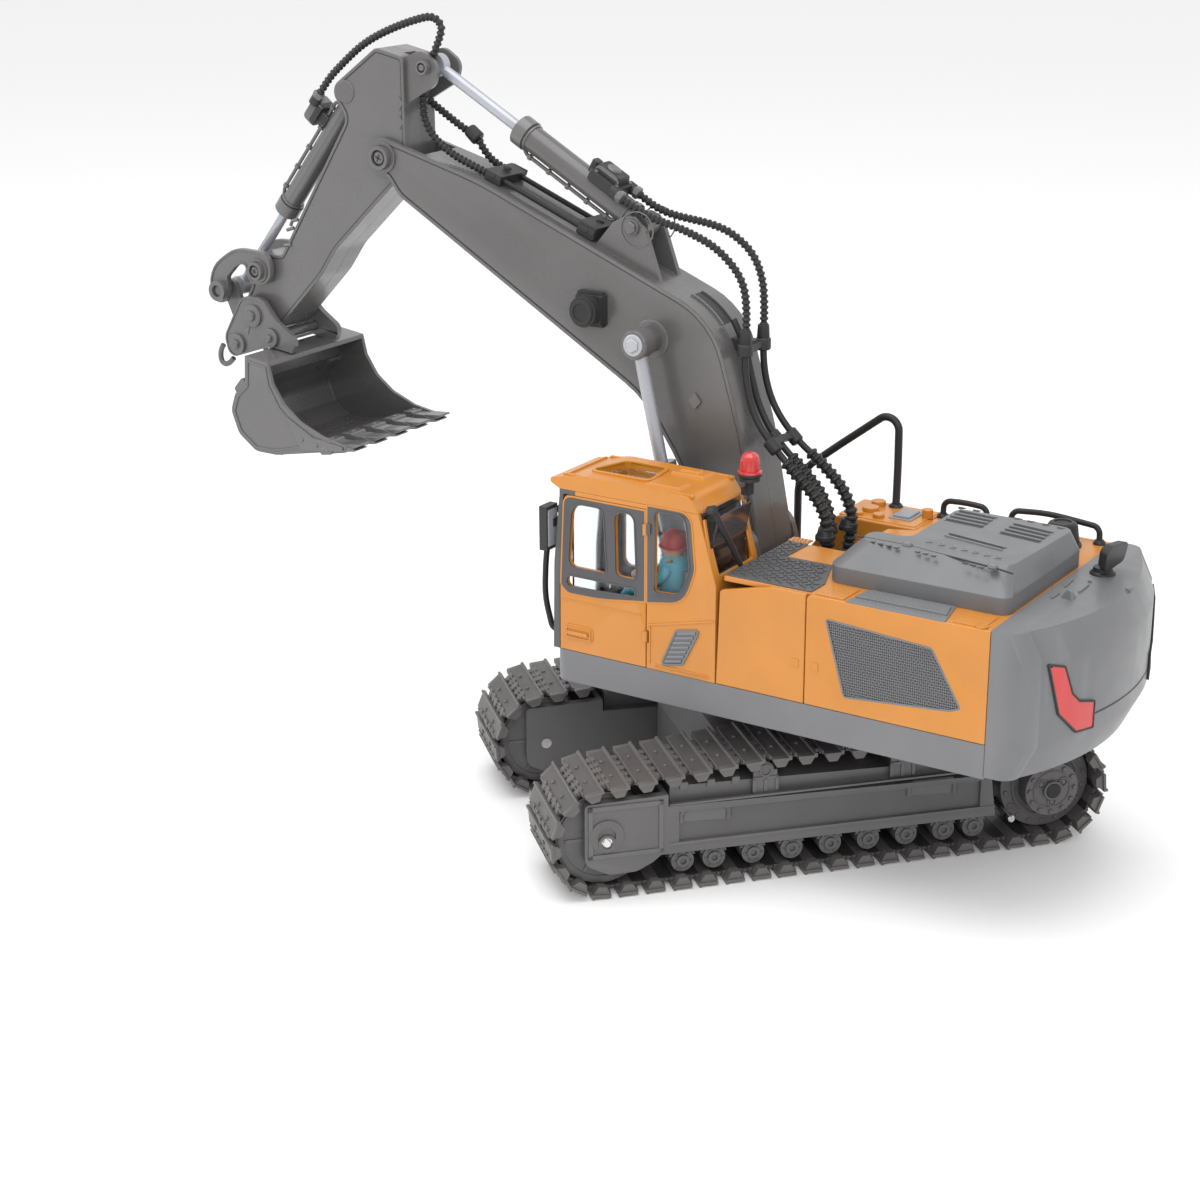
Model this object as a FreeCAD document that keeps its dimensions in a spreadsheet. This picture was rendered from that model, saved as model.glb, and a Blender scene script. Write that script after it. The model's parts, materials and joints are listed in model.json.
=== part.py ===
import FreeCAD, Part
import math
import os
import Sketcher

# Toy excavator, millimetres.  +X is forward along the boom, +Y is the cab side, +Z is up.
# The origin is the point of the ground that lies under the middle of the slew ring.
# The undercarriage stands turned by rest_slew about Z, so its own lengths run along "travel" axes.

Vector = FreeCAD.Vector
doc = FreeCAD.newDocument("ToyExcavator")
sheet = doc.addObject("Spreadsheet::Sheet", "Sizes")

DRIVING_SIZES = {
    # undercarriage
    "rest_slew": 47.63, "wheelbase": 170.0, "axle_height": 21.1, "track_gauge": 91.7,
    "belt_width": 36.0, "belt_radius": 21.1, "belt_thickness": 3.0, "carrier_spread": 26.0,
    "carrier_top": 47.5, "carrier_radius": 6.0, "frame_width": 32.0, "frame_wall": 3.5,
    "wheel_radius": 17.5, "wheel_width": 23.0, "axle_radius": 2.0, "running_gap": 0.05,
    "roller_radius": 4.3, "roller_height": 8.84, "roller_length": 25.0, "hub_radius": 10.5,
    "neck_radius": 24.0, "neck_top": 61.0,
    # slew gears
    "gear_module": 1.0, "ring_teeth": 42.0, "pinion_teeth": 14.0, "gear_width": 4.0,
    # upper structure
    "body_left": 64.6, "body_right": 45.0, "skirt_low": 59.5, "skirt_top": 71.9, "shell_wall": 2.0,
    "deck_top": 112.0, "body_rear": 111.4, "cab_inner": 34.0, "cab_wall": 1.6,
    "glass": 0.8, "door_hinge_x": 20.7, "door_hinge_radius": 1.0, "button_travel": 1.0,
    # arm
    "boom_width": 24.0, "boom_wall": 2.0, "stick_width": 18.8, "arm_pin_radius": 2.5,
    "cylinder_spread": 42.0, "boom_barrel_radius": 4.5, "boom_rod_radius": 2.5,
    "stick_barrel_radius": 5.0, "stick_rod_radius": 2.2, "bucket_barrel_radius": 4.3,
    "bucket_rod_radius": 2.0, "lever_gauge": 22.0, "link_gauge": 16.0, "bucket_width": 62.0,
    "bucket_wall": 1.8, "coupler_gauge": 25.0, "hose_radius": 1.6,
}

for row, (alias, value) in enumerate(DRIVING_SIZES.items(), start=1):
    sheet.set("A%d" % row, alias)
    sheet.set("B%d" % row, str(value))
    sheet.setAlias("B%d" % row, alias)
doc.recompute()


def size(alias):
    return float(sheet.get(alias))


parts = []


# ---------------------------------------------------------------- outlines

def rounded(points):
    """Sketch edges of a closed outline; a third value in a point is that corner's radius."""
    corners = []
    for index, point in enumerate(points):
        here = Vector(point[0], point[1], 0)
        before = Vector(*points[index - 1][:2], 0) - here
        after = Vector(*points[(index + 1) % len(points)][:2], 0) - here
        if len(point) < 3:
            corners.append((here, None, here))
            continue
        before.normalize()
        after.normalize()
        half = before.getAngle(after) / 2
        reach = point[2] / math.tan(half)
        bisector = (before + after).normalize()
        middle = here + bisector * (point[2] / math.sin(half) - point[2])
        corners.append((here + before * reach, middle, here + after * reach))
    edges = []
    for index, (start, middle, end) in enumerate(corners):
        if middle is not None:
            edges.append(Part.Arc(start, middle, end))
        following = corners[(index + 1) % len(corners)][0]
        if (following - end).Length > 1e-6:
            edges.append(Part.LineSegment(end, following))
    return edges


def around(circles):
    """Sketch edges of the tight outline round circles (x, y, radius) listed counterclockwise."""
    tangents = []
    for index, (x1, y1, r1) in enumerate(circles):
        x2, y2, r2 = circles[(index + 1) % len(circles)]
        along = Vector(x2 - x1, y2 - y1, 0)
        lean = math.asin((r1 - r2) / along.Length)
        along.normalize()
        outward = Vector(along.y, -along.x, 0)
        normal = outward * math.cos(lean) + along * math.sin(lean)
        tangents.append((Vector(x1, y1, 0) + normal * r1, Vector(x2, y2, 0) + normal * r2, normal))
    edges = []
    for index, (x, y, radius) in enumerate(circles):
        arrive = tangents[index - 1]
        leave = tangents[index]
        turn = arrive[2].getAngle(leave[2])
        if arrive[2].cross(leave[2]).z < 0:
            turn = 2 * math.pi - turn
        first = math.atan2(arrive[2].y, arrive[2].x)
        half_way = first + turn / 2
        middle = Vector(x + radius * math.cos(half_way), y + radius * math.sin(half_way), 0)
        edges.append(Part.Arc(arrive[1], middle, leave[0]))
        edges.append(Part.LineSegment(leave[0], leave[1]))
    return edges


def inset(points, wall):
    """The outline moved inward by the wall; rounded corners keep their centres."""
    area = sum(points[i - 1][0] * p[1] - p[0] * points[i - 1][1] for i, p in enumerate(points))
    side = 1 if area > 0 else -1
    moved = []
    for index, point in enumerate(points):
        before = Vector(*points[index - 1][:2], 0)
        here = Vector(*point[:2], 0)
        after = Vector(*points[(index + 1) % len(points)][:2], 0)
        arrive = (here - before).normalize()
        leave = (after - here).normalize()
        in_arrive = Vector(-arrive.y, arrive.x, 0) * side
        in_leave = Vector(-leave.y, leave.x, 0) * side
        corner = here + (in_arrive + in_leave) * (wall / (1 + in_arrive.dot(in_leave)))
        moved.append((corner.x, corner.y))
        if len(point) > 2:
            convex = arrive.cross(leave).z * side > 0
            radius = point[2] - wall if convex else point[2] + wall
            if radius > 0.2:
                moved[-1] = (corner.x, corner.y, radius)
    return moved


def ring(x, y, radius):
    return [Part.Circle(Vector(x, y, 0), Vector(0, 0, 1), radius)]


# ---------------------------------------------------------------- PartDesign helpers

def new_body(label):
    body = doc.addObject("PartDesign::Body", label)
    body.Label = label
    parts.append(body)
    return body


def sketch_on(body, role, geometry, offset="0"):
    """A sketch on one of the body's own origin planes, moved along the plane's normal."""
    plane = [feature for feature in body.Origin.OriginFeatures if feature.Role == role][0]
    sketch = body.newObject("Sketcher::SketchObject", body.Label + "_sketch")
    sketch.AttachmentSupport = (plane, "")
    sketch.MapMode = "FlatFace"
    sketch.setExpression("AttachmentOffset.Base.z", offset)
    for item in geometry:
        sketch.addConstraint(Sketcher.Constraint("Block", sketch.addGeometry(item)))
    return sketch


def pad(body, role, geometry, length, offset="0", side="Symmetric"):
    feature = body.newObject("PartDesign::Pad", body.Label + "_pad")
    feature.Profile = sketch_on(body, role, geometry, offset)
    feature.SideType = side
    feature.setExpression("Length", length)
    return feature


def pocket(body, role, geometry, length, offset="0"):
    """A pocket cut to both sides of the sketch; it must remove material."""
    doc.recompute()
    volume = body.Shape.Volume
    feature = body.newObject("PartDesign::Pocket", body.Label + "_pocket")
    feature.Profile = sketch_on(body, role, geometry, offset)
    feature.SideType = "Symmetric"
    feature.setExpression("Length", length)
    doc.recompute()
    if body.Shape.Volume > volume - 0.01:
        raise ValueError("a pocket of %s cuts nothing" % body.Label)
    return feature


def loft(body, low, high, low_z, high_z):
    feature = body.newObject("PartDesign::AdditiveLoft", body.Label + "_loft")
    feature.Profile = sketch_on(body, "XY_Plane", low, low_z)
    feature.Sections = [sketch_on(body, "XY_Plane", high, high_z)]
    feature.Ruled = True
    return feature


def plate(label, geometry, width, centre_y="0"):
    """A piece of one thickness across the machine, drawn in X and Z."""
    body = new_body(label)
    pad(body, "XZ_Plane", geometry, width)
    body.setExpression("Placement.Base.y", centre_y)
    return body


def slab(label, geometry, low, height):
    """A piece of one height, drawn in X and Y."""
    body = new_body(label)
    pad(body, "XY_Plane", geometry, height, low, "One side")
    return body


# ---------------------------------------------------------------- primitive helpers

def rod(start, end, radius, name="rod"):
    """A Part cylinder from start to end whose radius is an expression of the sheet."""
    item = doc.addObject("Part::Cylinder", name)
    start = Vector(*start)
    along = Vector(*end) - start
    item.setExpression("Radius", radius)
    item.Height = along.Length
    item.Placement = FreeCAD.Placement(start, FreeCAD.Rotation(Vector(0, 0, 1), along))
    return item


def block(low, high, name="block"):
    item = doc.addObject("Part::Box", name)
    item.Length = high[0] - low[0]
    item.Width = high[1] - low[1]
    item.Height = high[2] - low[2]
    item.Placement.Base = Vector(*low)
    return item


def fuse(items, name="fuse"):
    item = doc.addObject("Part::MultiFuse", name)
    item.Shapes = items
    return item


def cut(base, tool, name="cut"):
    item = doc.addObject("Part::Cut", name)
    item.Base = base
    item.Tool = tool
    return item


def keep(item, label):
    item.Label = label
    parts.append(item)
    return item


def group(items, label):
    """Separate solids of one kind that share a node."""
    item = doc.addObject("Part::Compound", label)
    item.Links = items
    return keep(item, label)


def shaped(label, shape):
    item = doc.addObject("Part::Feature", label)
    item.Shape = shape
    return keep(item, label)


def in_travel_frame(item, y="0"):
    """Turns a piece drawn along the travel axes into place, moved sideways by y."""
    item.setExpression("Placement.Rotation.Angle", "Sizes.rest_slew")
    item.setExpression("Placement.Base.x", "-(%s) * sin(Sizes.rest_slew)" % y)
    item.setExpression("Placement.Base.y", "(%s) * cos(Sizes.rest_slew)" % y)
    return item


SIDES = {"left": 1, "right": -1}
axle_x = size("wheelbase") / 2
axle_z = size("axle_height")
bore = size("axle_radius") + size("running_gap")


# ---------------------------------------------------------------- undercarriage

def build_centre_frame():
    body = new_body("centre_frame")
    foot = [(-42, -29.8, 6), (42, -29.8, 6), (42, 29.8, 6), (-42, 29.8, 6)]
    crown = [(-34, -28, 6), (34, -28, 6), (34, 28, 6), (-34, 28, 6)]
    pad(body, "XY_Plane", rounded(foot), "22", "14", "One side")
    loft(body, rounded(foot), rounded(crown), "36", "43")
    pad(body, "XY_Plane", ring(0, 0, 27.5), "14.6", "43", "One side")
    pad(body, "XY_Plane", ring(0, 0, size("neck_radius")), "Sizes.neck_top - 57", "57", "One side")
    pocket(body, "XY_Plane", ring(0, 0, 9), "200")
    pocket(body, "XY_Plane", rounded(inset(foot, 3)), "2 * 15", "14")
    in_travel_frame(body)


def build_track_frame(name, side):
    """A box girder with a forked front end for the idler and an inner arm for the sprocket."""
    body = new_body(name + "_track_frame")
    girder = [(-62.2, 13.9), (65, 13.9), (68, 11.5, 3), (74, 8.6, 5), (84, 8.4, 6), (92.8, 13, 4),
              (92.8, 36.1, 2), (62.5, 36.8), (62.5, 32.2), (-60, 30.3)]
    spine = [(-58, 29), (61, 29), (61, 38.2), (-58, 35.5)]
    arm = [(-60, 14), (-60, 29), (-92.5, 28.6, 7), (-92.5, 13.6, 7)]
    outer = size("frame_width") / 2
    pad(body, "XZ_Plane", rounded(girder), "Sizes.frame_width")
    pad(body, "XZ_Plane", rounded(spine), "24")
    arm_offset = "%d * (Sizes.frame_width - Sizes.frame_wall) / 2" % side
    pad(body, "XZ_Plane", rounded(arm), "Sizes.frame_wall", arm_offset)
    fork = [(64.5, -outer + 3.5), (96, -outer + 3.5), (96, outer - 3.5), (64.5, outer - 3.5)]
    pocket(body, "XY_Plane", rounded(fork), "100", "30")
    pocket(body, "XZ_Plane", ring(axle_x, axle_z, bore) + ring(-axle_x, axle_z, bore), "60")
    recess = [(-56, 17.2), (58.5, 17.2), (58.5, 29.6), (-56, 28.4)]
    pocket(body, "XZ_Plane", rounded(recess), "2 * 1.2", "%d * Sizes.frame_width / 2" % -side)
    bay = [(-56, 16), (-18, 16), (-18, 28), (-56, 28)]
    pocket(body, "XZ_Plane", rounded(bay), "2 * 22", "%d * Sizes.frame_width / 2" % side)
    in_travel_frame(body, "%d * Sizes.track_gauge / 2" % side)


def belt_outline(depth):
    wheel = size("belt_radius") - depth
    carrier = size("carrier_radius") - depth
    height = size("carrier_top") - size("carrier_radius")
    spread = size("carrier_spread")
    return around([(-axle_x, axle_z, wheel), (axle_x, axle_z, wheel),
                   (spread, height, carrier), (-spread, height, carrier)])


def build_belt(name, side):
    geometry = belt_outline(0) + belt_outline(size("belt_thickness"))
    body = plate(name + "_track_belt", geometry, "Sizes.belt_width")
    in_travel_frame(body, "%d * Sizes.track_gauge / 2" % side)


ROLLER_PLACES = [56.1, 44.4, 29.7, 15.1, 0.4, -14.3, -29.0, -43.6, -55.4]


def girder_top(x):
    """Height of the girder's top ledge, which falls a little towards the sprocket."""
    return 30.32 + (x + 60) * 1.9 / 122.5


def build_track_rollers():
    """Dummy bottom rollers with their hangers, and the brackets that carry the belts' top runs."""
    height = size("roller_height")
    reach = size("roller_length") / 2
    pieces = []
    for side in SIDES.values():
        middle = side * size("track_gauge") / 2
        for x in ROLLER_PLACES:
            wheel = rod((x, middle - reach, height), (x, middle + reach, height), "Sizes.roller_radius")
            hanger = block((x - 3, middle - reach, height), (x + 3, middle + reach, 13.9))
            pieces.append(fuse([wheel, hanger]))
        for x in (-size("carrier_spread"), size("carrier_spread")):
            low, high = middle - 13.6, middle + 13.6
            wheel = rod((x, low, 41), (x, high, 41), "3.2")
            stand = cut(block((x - 4.5, low, girder_top(x + 4.5)), (x + 4.5, high, 41)),
                        block((x - 9, low + 1.5, 30), (x + 9, high - 1.5, 45)))
            pieces.append(fuse([wheel, stand]))
    in_travel_frame(group(pieces, "track_rollers"))


def build_wheel(name, x, rims):
    """A wheel turned about its axle: rims are (half width, radius) steps from the rim inwards."""
    body = new_body(name)
    side = SIDES[name.split("_")[0]]
    for low, high, radius in rims:
        middle = -side * (low + high) / 2
        pad(body, "XZ_Plane", ring(x, axle_z, radius), str(high - low), str(middle))
    pocket(body, "XZ_Plane", ring(x, axle_z, bore), "60")
    in_travel_frame(body, "%d * Sizes.track_gauge / 2" % side)


def build_axles():
    pins = []
    inner = size("track_gauge") / 2 - size("frame_width") / 2
    for side in SIDES.values():
        for x, outer in ((axle_x, 62.4), (-axle_x, 60.5)):
            pins.append(rod((x, side * inner, axle_z), (x, side * outer, axle_z), "Sizes.axle_radius"))
    in_travel_frame(group(pins, "axle_pins"))


def build_drive_motors():
    """A motor and its gear case lie in the bay of each girder; the case faces the sprocket arm."""
    units = []
    for side in SIDES.values():
        y = side * (size("track_gauge") / 2 - 5)
        can = rod((-44, y, 22), (-21, y, 22), "5.8")
        case = block((-55, y - 6.5, 16.3), (-44, y + 6.5, 27.7))
        units.append(fuse([can, case]))
    in_travel_frame(group(units, "drive_motors"))


def build_base_lid():
    lid = [(-38.8, -26.6, 3), (38.8, -26.6, 3), (38.8, 26.6, 3), (-38.8, 26.6, 3)]
    body = slab("base_lid", rounded(lid) + ring(0, 0, 6), "16", "2")
    in_travel_frame(body)


# ---------------------------------------------------------------- gears

def gear_geometry(teeth, module, thinning):
    """Involute tooth flanks of 25 degrees joined by straight tips and roots."""
    pressure = math.radians(25)
    pitch = teeth * module / 2
    base = pitch * math.cos(pressure)
    tip = pitch + 0.75 * module
    root = pitch - 1.05 * module
    involute = math.tan(pressure) - pressure
    half_tooth = math.pi / (2 * teeth) - thinning / (2 * pitch)
    points = []
    for tooth in range(teeth):
        centre = 2 * math.pi * tooth / teeth
        flank = []
        for radius in (max(base, root), pitch - 0.3 * module, pitch, pitch + 0.4 * module, tip):
            roll = math.acos(min(1.0, base / radius))
            angle = half_tooth + involute - (math.tan(roll) - roll)
            flank.append((radius, angle))
        flank.insert(0, (root, flank[0][1]))
        for radius, angle in flank:
            points.append((radius * math.cos(centre - angle), radius * math.sin(centre - angle)))
        for radius, angle in reversed(flank):
            points.append((radius * math.cos(centre + angle), radius * math.sin(centre + angle)))
    return rounded(points)


def build_slew_gears():
    module = size("gear_module")
    ring_teeth = int(size("ring_teeth"))
    pinion_teeth = int(size("pinion_teeth"))
    gear = new_body("slew_ring_gear")
    pad(gear, "XY_Plane", gear_geometry(ring_teeth, module, 0.12) + ring(0, 0, 9.5),
        "Sizes.gear_width", "Sizes.neck_top", "One side")
    pinion = new_body("slew_pinion")
    bore_ring = ring(0, 0, 1.5 + size("running_gap"))
    pad(pinion, "XY_Plane", gear_geometry(pinion_teeth, module, 0.12) + bore_ring,
        "Sizes.gear_width - 1", "Sizes.neck_top + 0.6", "One side")
    # The ring has a tooth on the line of centres, so the pinion shows it a gap: half a pitch.
    spacing = (ring_teeth + pinion_teeth) * module / 2 + 0.1
    ring_tooth = round(ring_teeth / 2) * 360 / ring_teeth
    half_pitch = 180 / pinion_teeth
    facing = ring_tooth - 180
    x = spacing * math.cos(math.radians(ring_tooth))
    y = spacing * math.sin(math.radians(ring_tooth))
    turned = FreeCAD.Rotation(Vector(0, 0, 1), facing + half_pitch)
    pinion.Placement = FreeCAD.Placement(Vector(x, y, 0), turned)
    shaft = rod((x, y, 61.6), (x, y, 67), "1.5")
    case = block((x - 9, y - 9, 66), (x + 9, y + 9, 76))
    can = rod((x, y, 76), (x, y, 96), "7.5")
    slew_drive = fuse([shaft, case, can])
    boom_drive = fuse([rod((-20, -10, 90), (-20, 10, 90), "9"), block((-12, -9, 84), (-7.5, 9, 96))])
    group([slew_drive, boom_drive], "house_motors")


build_centre_frame()
for side_name, side_sign in SIDES.items():
    build_track_frame(side_name, side_sign)
    build_belt(side_name, side_sign)
    build_wheel(side_name + "_idler", axle_x, [(-11.5, 11.5, size("wheel_radius"))])
    build_wheel(side_name + "_sprocket", -axle_x,
                [(-11, 8, size("wheel_radius")), (8, 14.8, size("hub_radius"))])
build_track_rollers()
build_axles()
build_drive_motors()
build_base_lid()
build_slew_gears()


# ---------------------------------------------------------------- pins of the arm, as (x, z)

FOOT_PIN = (13.0, 104.0)
LIFT_BASE = (30.0, 86.0)
LIFT_EYE = (51.4, 178.0)
TIP_PIN = (174.0, 234.3)
STICK_BASE = (62.5, 217.4)
STICK_EYE = (155.2, 269.2)
BUCKET_BASE = (193.5, 257.7)
LEVER_PIN = (239.8, 183.0)
LINK_PIN = (260.6, 172.6)
BUCKET_PIN = (242.3, 164.4)
COUPLER_PIN = (251.4, 151.5)
LATCH_PIN = (233.2, 156.1)
FORK_REACH = 19.0


# ---------------------------------------------------------------- upper structure

left = size("body_left")
right = size("body_right")
deck = size("deck_top")
rear = size("body_rear")
skirt_top = size("skirt_top")


def build_platform():
    body = new_body("slew_platform")
    plan = [(-rear, left), (-rear, -right), (27, -right, 6), (36, -30, 6), (40, 30, 4), (58, 33, 3),
            (60.5, left, 5)]
    height = "Sizes.skirt_top - Sizes.skirt_low"
    pad(body, "XY_Plane", rounded(plan), height, "Sizes.skirt_low", "One side")
    inner = inset(plan, size("shell_wall"))
    pocket(body, "XY_Plane", rounded(inner), "2 * (Sizes.skirt_top - 61.5)", "Sizes.skirt_top")
    pocket(body, "XY_Plane", ring(0, 0, size("neck_radius") + 0.35), "20", "Sizes.skirt_low")


REAR_BULGE = 140.0
REAR_CORNER = 127.5
CORNER_DEPTH = 6.0
TAIL_LAMP = [(57, 101.5, 1.5), (50.5, 99.5, 1), (46.5, 89, 3), (43, 85.5, 2), (35.5, 83.5, 1),
             (35.5, 74.2, 1), (44, 74.8, 3), (52, 83, 3)]
middle_y = (left - right) / 2
reach_y = (left + right) / 2


def rear_plan(tuck):
    """The counterweight seen from above, with its rear face pulled forward by tuck."""
    front = -rear - 0.1
    corner = tuck - REAR_CORNER

    def at(x, y):
        return Vector(x, middle_y + y, 0)

    edges = [Part.LineSegment(at(front, -reach_y), at(front, reach_y)),
             Part.Arc(at(corner, reach_y - CORNER_DEPTH), at(tuck - REAR_BULGE, 0),
                      at(corner, CORNER_DEPTH - reach_y))]
    for side in SIDES.values():
        start = at(corner + CORNER_DEPTH, side * reach_y)
        end = at(corner, side * (reach_y - CORNER_DEPTH))
        edges.append(Part.LineSegment(at(front, side * reach_y), start))
        edges.append(Part.Arc(start, at(corner + 1.6, side * (reach_y - 1.9)), end))
    return edges


def tail_lamp(side, depth, proud, play):
    """An angled lamp that follows the curve of the counterweight's rear face."""
    half_chord = reach_y - CORNER_DEPTH
    rise = REAR_BULGE - REAR_CORNER
    radius = (half_chord ** 2 + rise ** 2) / (2 * rise)
    centre = Vector(radius - REAR_BULGE, middle_y, 70)
    shell = Part.makeCylinder(radius + proud, 40, centre).cut(Part.makeCylinder(radius - depth, 40, centre))
    outline = [(middle_y + side * (corner[0] - middle_y),) + corner[1:] for corner in TAIL_LAMP]
    face = Part.Face(Part.Wire([edge.toShape() for edge in rounded(inset(outline, -play))]))
    across = FreeCAD.Rotation(Vector(0, 1, 0), Vector(0, 0, 1), Vector(1, 0, 0), "ZXY")
    face.Placement = FreeCAD.Placement(Vector(-170, 0, 0), across)
    return shell.common(face.extrude(Vector(60, 0, 0)))


def build_counterweight():
    """A bulged casting whose rear face tucks in above and below."""
    casting = new_body("counterweight_casting")
    pad(casting, "XY_Plane", rear_plan(0), "102.5 - 73", "73", "One side")
    loft(casting, rear_plan(6), rear_plan(0), "Sizes.skirt_top - 11.4", "73")
    loft(casting, rear_plan(0), rear_plan(5), "102.5", "Sizes.deck_top + 0.5")
    parts.remove(casting)
    recess = doc.addObject("Part::Feature", "lamp_recesses")
    recess.Shape = Part.makeCompound([tail_lamp(side, 1.05, 2, 0.05) for side in SIDES.values()])
    keep(cut(casting, recess), "counterweight")


GRILLE = [(-50.8, 104.7, 1), (-58.6, 77.4, 2), (-98.3, 81.0, 2), (-102.2, 82.6, 1), (-90.7, 102.1, 2)]


def build_side_panels():
    """Outer panels; each rear one has a shallow field for its grille."""
    rear_panel = [(-rear + 0.2, skirt_top + 0.1), (-43.6, skirt_top + 0.1), (-43.6, deck - 0.1, 2),
                  (-rear + 0.2, deck - 0.1)]
    front_panel = [(-43.2, skirt_top + 0.1), (-8.4, skirt_top + 0.1), (-9.6, 107.1, 1.5),
                   (-29.8, deck - 0.1, 4), (-43.2, deck - 0.1)]
    wall = "Sizes.shell_wall"
    for name, side in SIDES.items():
        flank = "Sizes.body_left" if side > 0 else "Sizes.body_right"
        centre = "%d * (%s - Sizes.shell_wall / 2)" % (side, flank)
        body = plate(name + "_rear_panel", rounded(rear_panel), wall, centre)
        pocket(body, "XZ_Plane", rounded(GRILLE), "2 * 0.8", "%d * Sizes.shell_wall / 2" % -side)
    plate("left_front_panel", rounded(front_panel), wall, "Sizes.body_left - Sizes.shell_wall / 2")


def build_deck():
    play = size("shell_wall") + 0.1
    plan = [(-rear + 0.1, play - right), (-43.4, play - right), (-43.4, -19.6), (-34, -16), (-34, 16),
            (-10, 16), (-10, left - play), (-rear + 0.1, left - play)]
    slab("deck_plate", rounded(plan), "Sizes.deck_top - 2.1", "2")


def build_hood():
    body = new_body("engine_hood")
    low = [(-110.2, -15.5, 4), (-60, -15.5, 4), (-60, 31, 3), (-42.6, 31, 4), (-42.6, 48.8, 6),
           (-110.2, 48.8, 4)]
    high = [(-108.5, -11.5, 5), (-64, -11.5, 4), (-64, 28, 4), (-49, 28, 4), (-51, 40, 6), (-106, 38.5, 5)]
    base = "Sizes.deck_top - 0.1"
    pad(body, "XY_Plane", rounded(low), "6", base, "One side")
    loft(body, rounded(low), rounded(high), base + " + 6", base + " + 14")
    pocket(body, "XY_Plane", rounded(inset(low, 2)), "2 * 5", base)


BOX_INNER = 20.5


def build_right_box():
    """Tool locker ahead of the right rear panel, with a sloped front; caps, a knob and the switch on top."""
    top = size("deck_top")
    body = new_body("right_side_box")
    side = [(19.6, skirt_top + 0.1), (16.5, 76.5, 2), (-10.3, top, 4), (-43.2, top, 1),
            (-43.2, skirt_top + 0.1)]
    pad(body, "XZ_Plane", rounded(side), "Sizes.body_right - %f" % BOX_INNER)
    pocket(body, "XZ_Plane", rounded(inset(side, 2)), "Sizes.body_right - %f" % (BOX_INNER + 4))
    pocket(body, "XY_Plane", rounded([(-37, -5), (-29.9, -5), (-29.9, 5), (-37, 5)]), "10", "Sizes.deck_top")
    body.setExpression("Placement.Base.y", "-(Sizes.body_right + %f) / 2" % BOX_INNER)
    centre_y = -(right + BOX_INNER) / 2
    caps = [rod((x, y, top + 0.01), (x, y, top + height), radius) for x, y, height, radius in (
        (-19.2, -31.4, 2, "3.2"), (-25.4, -25.6, 1.8, "2.2"), (-17.6, -25, 1.4, "1.6"),
        (-18.6, -39.2, 2.2, "2.8"), (-41, -35, 3.6, "2.1"))]
    stack = fuse([rod((-95.5, -32.2, top), (-95.5, -32.2, top + 3.5), "6"),
                  rod((-95.5, -32.2, top + 3.5), (-95.5, -32.2, top + 8.6), "5")])
    group(caps + [stack], "deck_caps")
    keep(block((-36.9, centre_y - 4.9, top - 4.6), (-30, centre_y + 4.9, top + 1.6)), "power_button")
    keep(block((-38, -42, 74.4), (6, -24, 76)), "circuit_board")


def extruded(points, low_y, high_y):
    """A solid drawn in X and Z that fills low_y to high_y."""
    face = Part.Face(Part.Wire([edge.toShape() for edge in rounded(points)]))
    face.rotate(Vector(0, 0, 0), Vector(1, 0, 0), 90)
    face.translate(Vector(0, high_y, 0))
    return face.extrude(Vector(0, low_y - high_y, 0))


QUARTER_WINDOW = [(16.8, 131.4, 2), (4.4, 131.4, 4), (2.6, 112, 6), (6.5, 102, 6), (16.8, 101.5, 1)]
RIGHT_WINDOW = [(10, 98, 3), (48, 98, 3), (48, 128, 3), (10, 128, 3)]
FRONT_PILLAR = 50.5
HINGE_HEIGHTS = (82, 122)
KNUCKLE = 4


def hollow_cab(label):
    """The cab's closed side profile, hollowed to its wall and open to the roof."""
    profile = [(60.4, skirt_top + 0.1), (59.8, 105, 40), (57.2, 131), (57.2, 133), (-0.6, 133), (-8, 108),
               (-8, skirt_top + 0.1)]
    hollow = [(58.6, skirt_top + 2), (58, 105, 40), (55.4, 131), (55.4, 140), (-2.2, 140), (-2.2, 133),
              (-6.4, 108), (-6.4, skirt_top + 2)]
    width = "Sizes.body_left - Sizes.cab_inner"
    body = new_body(label)
    pad(body, "XZ_Plane", rounded(profile), width)
    pocket(body, "XZ_Plane", rounded(hollow), width + " - 2 * Sizes.cab_wall")
    body.setExpression("Placement.Base.y", "(Sizes.body_left + Sizes.cab_inner) / 2")
    return body


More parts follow.
